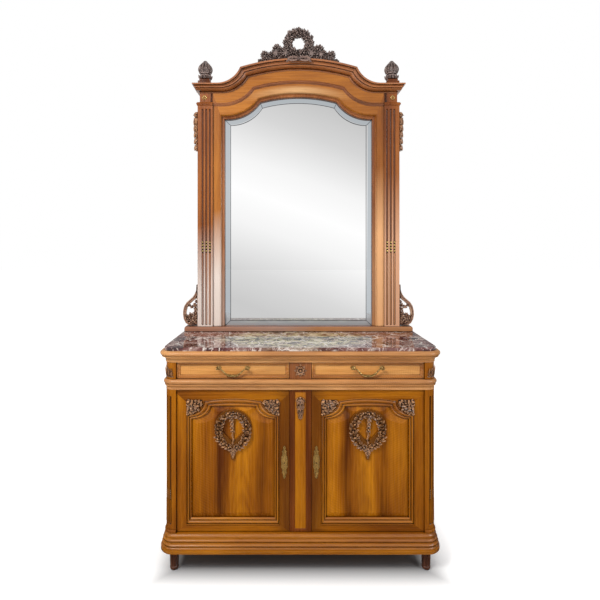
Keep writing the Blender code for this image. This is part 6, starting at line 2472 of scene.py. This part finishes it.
@dataclass(frozen=True)
class Studio:
    """Pale floor, white surroundings, soft lamps and the camera at the photograph's angle."""

    floor_half: float = 30.0
    floor_glow: float = 0.75
    light: float = 0.34
    dim_polish: float = 0.26
    wall_ahead: float = -0.35
    wall_low: float = -0.25
    wall_high: float = 0.5
    ceiling_low: float = 0.72
    ceiling_polish: float = 0.75
    key_place: tuple[float, float, float] = (-1.7, -2.3, 3.2)
    key_colour: RGB = (1.0, 0.99, 0.97)
    eye: tuple[float, float, float] = (-0.051, -2.2, 1.445)
    lens: float = 26.52
    shift: Point = (0.01833, -0.08267)

    def build_floor(self) -> None:
        """Lays a wide pale floor that keeps a soft shadow, with a painted shadow under the case,
        and that reflections see dark near the case.
        """
        bm = bmesh.new()
        bmesh.ops.create_grid(bm, x_segments=1, y_segments=1, size=self.floor_half)
        mesh = bpy.data.meshes.new("studio_floor")
        bm.to_mesh(mesh)
        bm.free()
        floor = bpy.data.objects.new("studio_floor", mesh)
        bpy.context.scene.collection.objects.link(floor)
        graph = Graph("studio_floor")
        seen = graph.add("ShaderNodeLightPath")
        x, y, _ = graph.split(graph.place())
        far = graph.vectors("LENGTH", graph.join(x, y, 0.0)).outputs[1]
        near = graph.times(seen.outputs["Is Glossy Ray"], graph.spread(far, 5.6, 3.4))
        pale = graph.mix(near, linear((240, 240, 240)), linear((84, 78, 72)))
        tree = graph.tree
        aside, ahead = graph.size(x), graph.size(graph.maths("ADD", y, -0.02))
        clear, outside_painted_shadow = [
            graph.maths("MAXIMUM", graph.spread(aside, 0.54, wide), graph.spread(ahead, 0.2, deep))
            for wide, deep in ((0.8, 0.42), (0.66, 0.32))
        ]
        # Painted shadow: the floor's colour is grey under the case.
        shadowed_floor = graph.mix(outside_painted_shadow, linear((140, 140, 142)), pale)
        graph.finish(shadowed_floor, 0.9, Specular_IOR_Level=0.0)
        glow = graph.add(
            "ShaderNodeEmission",
            {"Color": (1, 1, 1, 1), "Strength": graph.times(clear, self.floor_glow)},
        )
        quiet = graph.add("ShaderNodeEmission", {"Color": (0, 0, 0, 1), "Strength": 0.0})
        shown = graph.maths("MAXIMUM", seen.outputs["Is Camera Ray"], seen.outputs["Is Glossy Ray"])
        shown = graph.times(shown, graph.minus(1.0, near))
        pick = graph.add("ShaderNodeMixShader", {"Fac": shown})
        tree.links.new(quiet.outputs[0], pick.inputs[1])
        tree.links.new(glow.outputs[0], pick.inputs[2])
        total = graph.add("ShaderNodeAddShader")
        tree.links.new(graph.shader.outputs[0], total.inputs[0])
        tree.links.new(pick.outputs[0], total.inputs[1])
        tree.links.new(total.outputs[0], tree.nodes["Material Output"].inputs[0])
        mesh.materials.append(graph.material)
        floor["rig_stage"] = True

    def build_world(self) -> None:
        """Makes the surroundings white to the eye and to polish, and gentler as light."""
        world = bpy.data.worlds.new("studio_world")
        bpy.context.scene.world = world
        world.use_nodes = True
        nodes = Nodes(world.node_tree)
        background = nodes.tree.nodes["Background"]
        background.inputs["Color"].default_value = (1.0, 1.0, 1.0, 1.0)
        seen = nodes.add("ShaderNodeLightPath").outputs
        _, y, height = nodes.split(nodes.add("ShaderNodeTexCoord").outputs["Generated"])
        wall = nodes.times(
            nodes.maths("LESS_THAN", y, self.wall_ahead),
            nodes.maths("GREATER_THAN", height, self.wall_low),
        )
        wall = nodes.times(wall, nodes.maths("LESS_THAN", height, self.wall_high))
        polish = nodes.line(wall, 1 - self.dim_polish, self.dim_polish)
        ceiling = nodes.times(
            nodes.maths("GREATER_THAN", height, self.ceiling_low), self.ceiling_polish,
        )
        polish = nodes.maths("MAXIMUM", polish, ceiling)
        quiet = nodes.line(seen["Is Camera Ray"], 1 - self.light, self.light)
        shine = nodes.times(seen["Is Glossy Ray"], nodes.minus(polish, self.light))
        nodes.tree.links.new(nodes.maths("ADD", quiet, shine), background.inputs["Strength"])

    def build_lamp(
        self, name: str, place: Sequence[
            float
        ], aim: Sequence[float], size: float, power: float, colour: RGB,
    ) -> bpy.types.Object:
        """Hangs one soft square lamp that looks at a point.

        Args:
            name: The lamp's name.
            place: Where it hangs.
            aim: The point that it looks at.
            size: Length of its side.
            power: Its power in watts.
            colour: Its linear colour.

        Returns:
            The lamp's object.
        """
        data = bpy.data.lights.new(name, "AREA")
        data.shape = "SQUARE"
        data.size = size
        data.energy = power
        data.color = colour
        lamp = bpy.data.objects.new(name, data)
        lamp.location = place
        lamp.rotation_euler = (Vector(aim) - Vector(place)).to_track_quat("-Z", "Y").to_euler()
        bpy.context.scene.collection.objects.link(lamp)
        return lamp

    def build_camera(self) -> None:
        """Stands the camera where the photograph was taken from."""
        data = bpy.data.cameras.new("photo_camera")
        data.lens = self.lens
        data.sensor_width = 36.0
        data.shift_x, data.shift_y = self.shift
        data.clip_end = 100.0
        camera = bpy.data.objects.new("photo_camera", data)
        camera.location = self.eye
        camera.rotation_euler = (pi / 2, 0, 0)
        bpy.context.scene.collection.objects.link(camera)
        bpy.context.scene.camera = camera

    def build(self) -> None:
        """Sets up the whole studio."""
        bpy.context.scene.view_settings.view_transform = "Standard"
        self.build_floor()
        self.build_world()
        middle = (0, 0, 1.0)
        key = self.build_lamp("key_lamp", self.key_place, middle, 1.1, 63, self.key_colour)
        key.visible_glossy = False
        self.build_lamp("glint_lamp", self.key_place, middle, 0.6, 32, self.key_colour)
        self.build_lamp("fill_lamp", (2.6, -2.0, 2.2), middle, 1.4, 26, (0.97, 0.98, 1.0))
        self.build_lamp("back_lamp", (0.4, 2.8, 3.2), (0, 0, 1.2), 2.0, 30, (1.0, 1.0, 1.0))
        self.build_camera()


@dataclass(frozen=True)
class Dressing:
    """The finish that each carried-over solid gets."""

    finishes: dict[str, str] = field(default_factory=lambda: {
        "bottom_board": "plain_level",
        "case_back": "plain_upright",
        "case_side": "walnut_side",
        "centre_stile": "walnut_red",
        "door_panel_left": "panel_left",
        "door_panel_right": "panel_right",
        "door_pivot": "forged_iron",
        "drawer_board": "plain_level",
        "drawer_bottom": "plain_level",
        "drawer_box": "plain_deep",
        "drawer_front": "walnut_frieze",
        "drawer_rail": "walnut_red_level",
        "escutcheon": "rubbed_brass",
        "foot_": "walnut_foot",
        "frieze_block": "walnut_block",
        "handle_post": "aged_brass",
        "lock_": "forged_iron",
        "marble_top": "breccia_marble",
        "mirror_backboard": "plain_upright",
        "mirror_glass": "silvered_glass",
        "mirror_sill": "walnut_sill",
        "plinth_rear_rail": "plain_level",
        "shelf": "plain_level",
        "sub_top": "plain_level",
    })

    def dress(self, palette: Palette) -> None:
        """Gives every shown solid its finish by the start of its name.

        Args:
            palette: The finishes that have been made.
        """
        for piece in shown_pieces():
            node = piece.get("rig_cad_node")
            if node is None:
                continue
            looks = (look for start, look in self.finishes.items() if node.startswith(start))
            match = next(looks, None)
            if match is None:
                log.warning("no finish for %s", node)
                continue
            piece.data.materials.clear()
            piece.data.materials.append(palette[match])
            log.info("%s: %s", node, match)


def main() -> None:
    """Builds the sideboard's shown pieces and the studio round them."""
    palette = Palette()
    Studio().build()
    Case(palette).build()
    for side, word in SIDES:
        Door(palette, side, word).build()
        DrawerPull(palette, side, word).build()
    MirrorHead(palette).build()
    for side, word in SIDES:
        Pilaster(palette, side, word).build()
        Finial(palette, side, word).build()
    Crest(palette).build()
    Dressing().dress(palette)


if __name__ == "__main__":
    main()
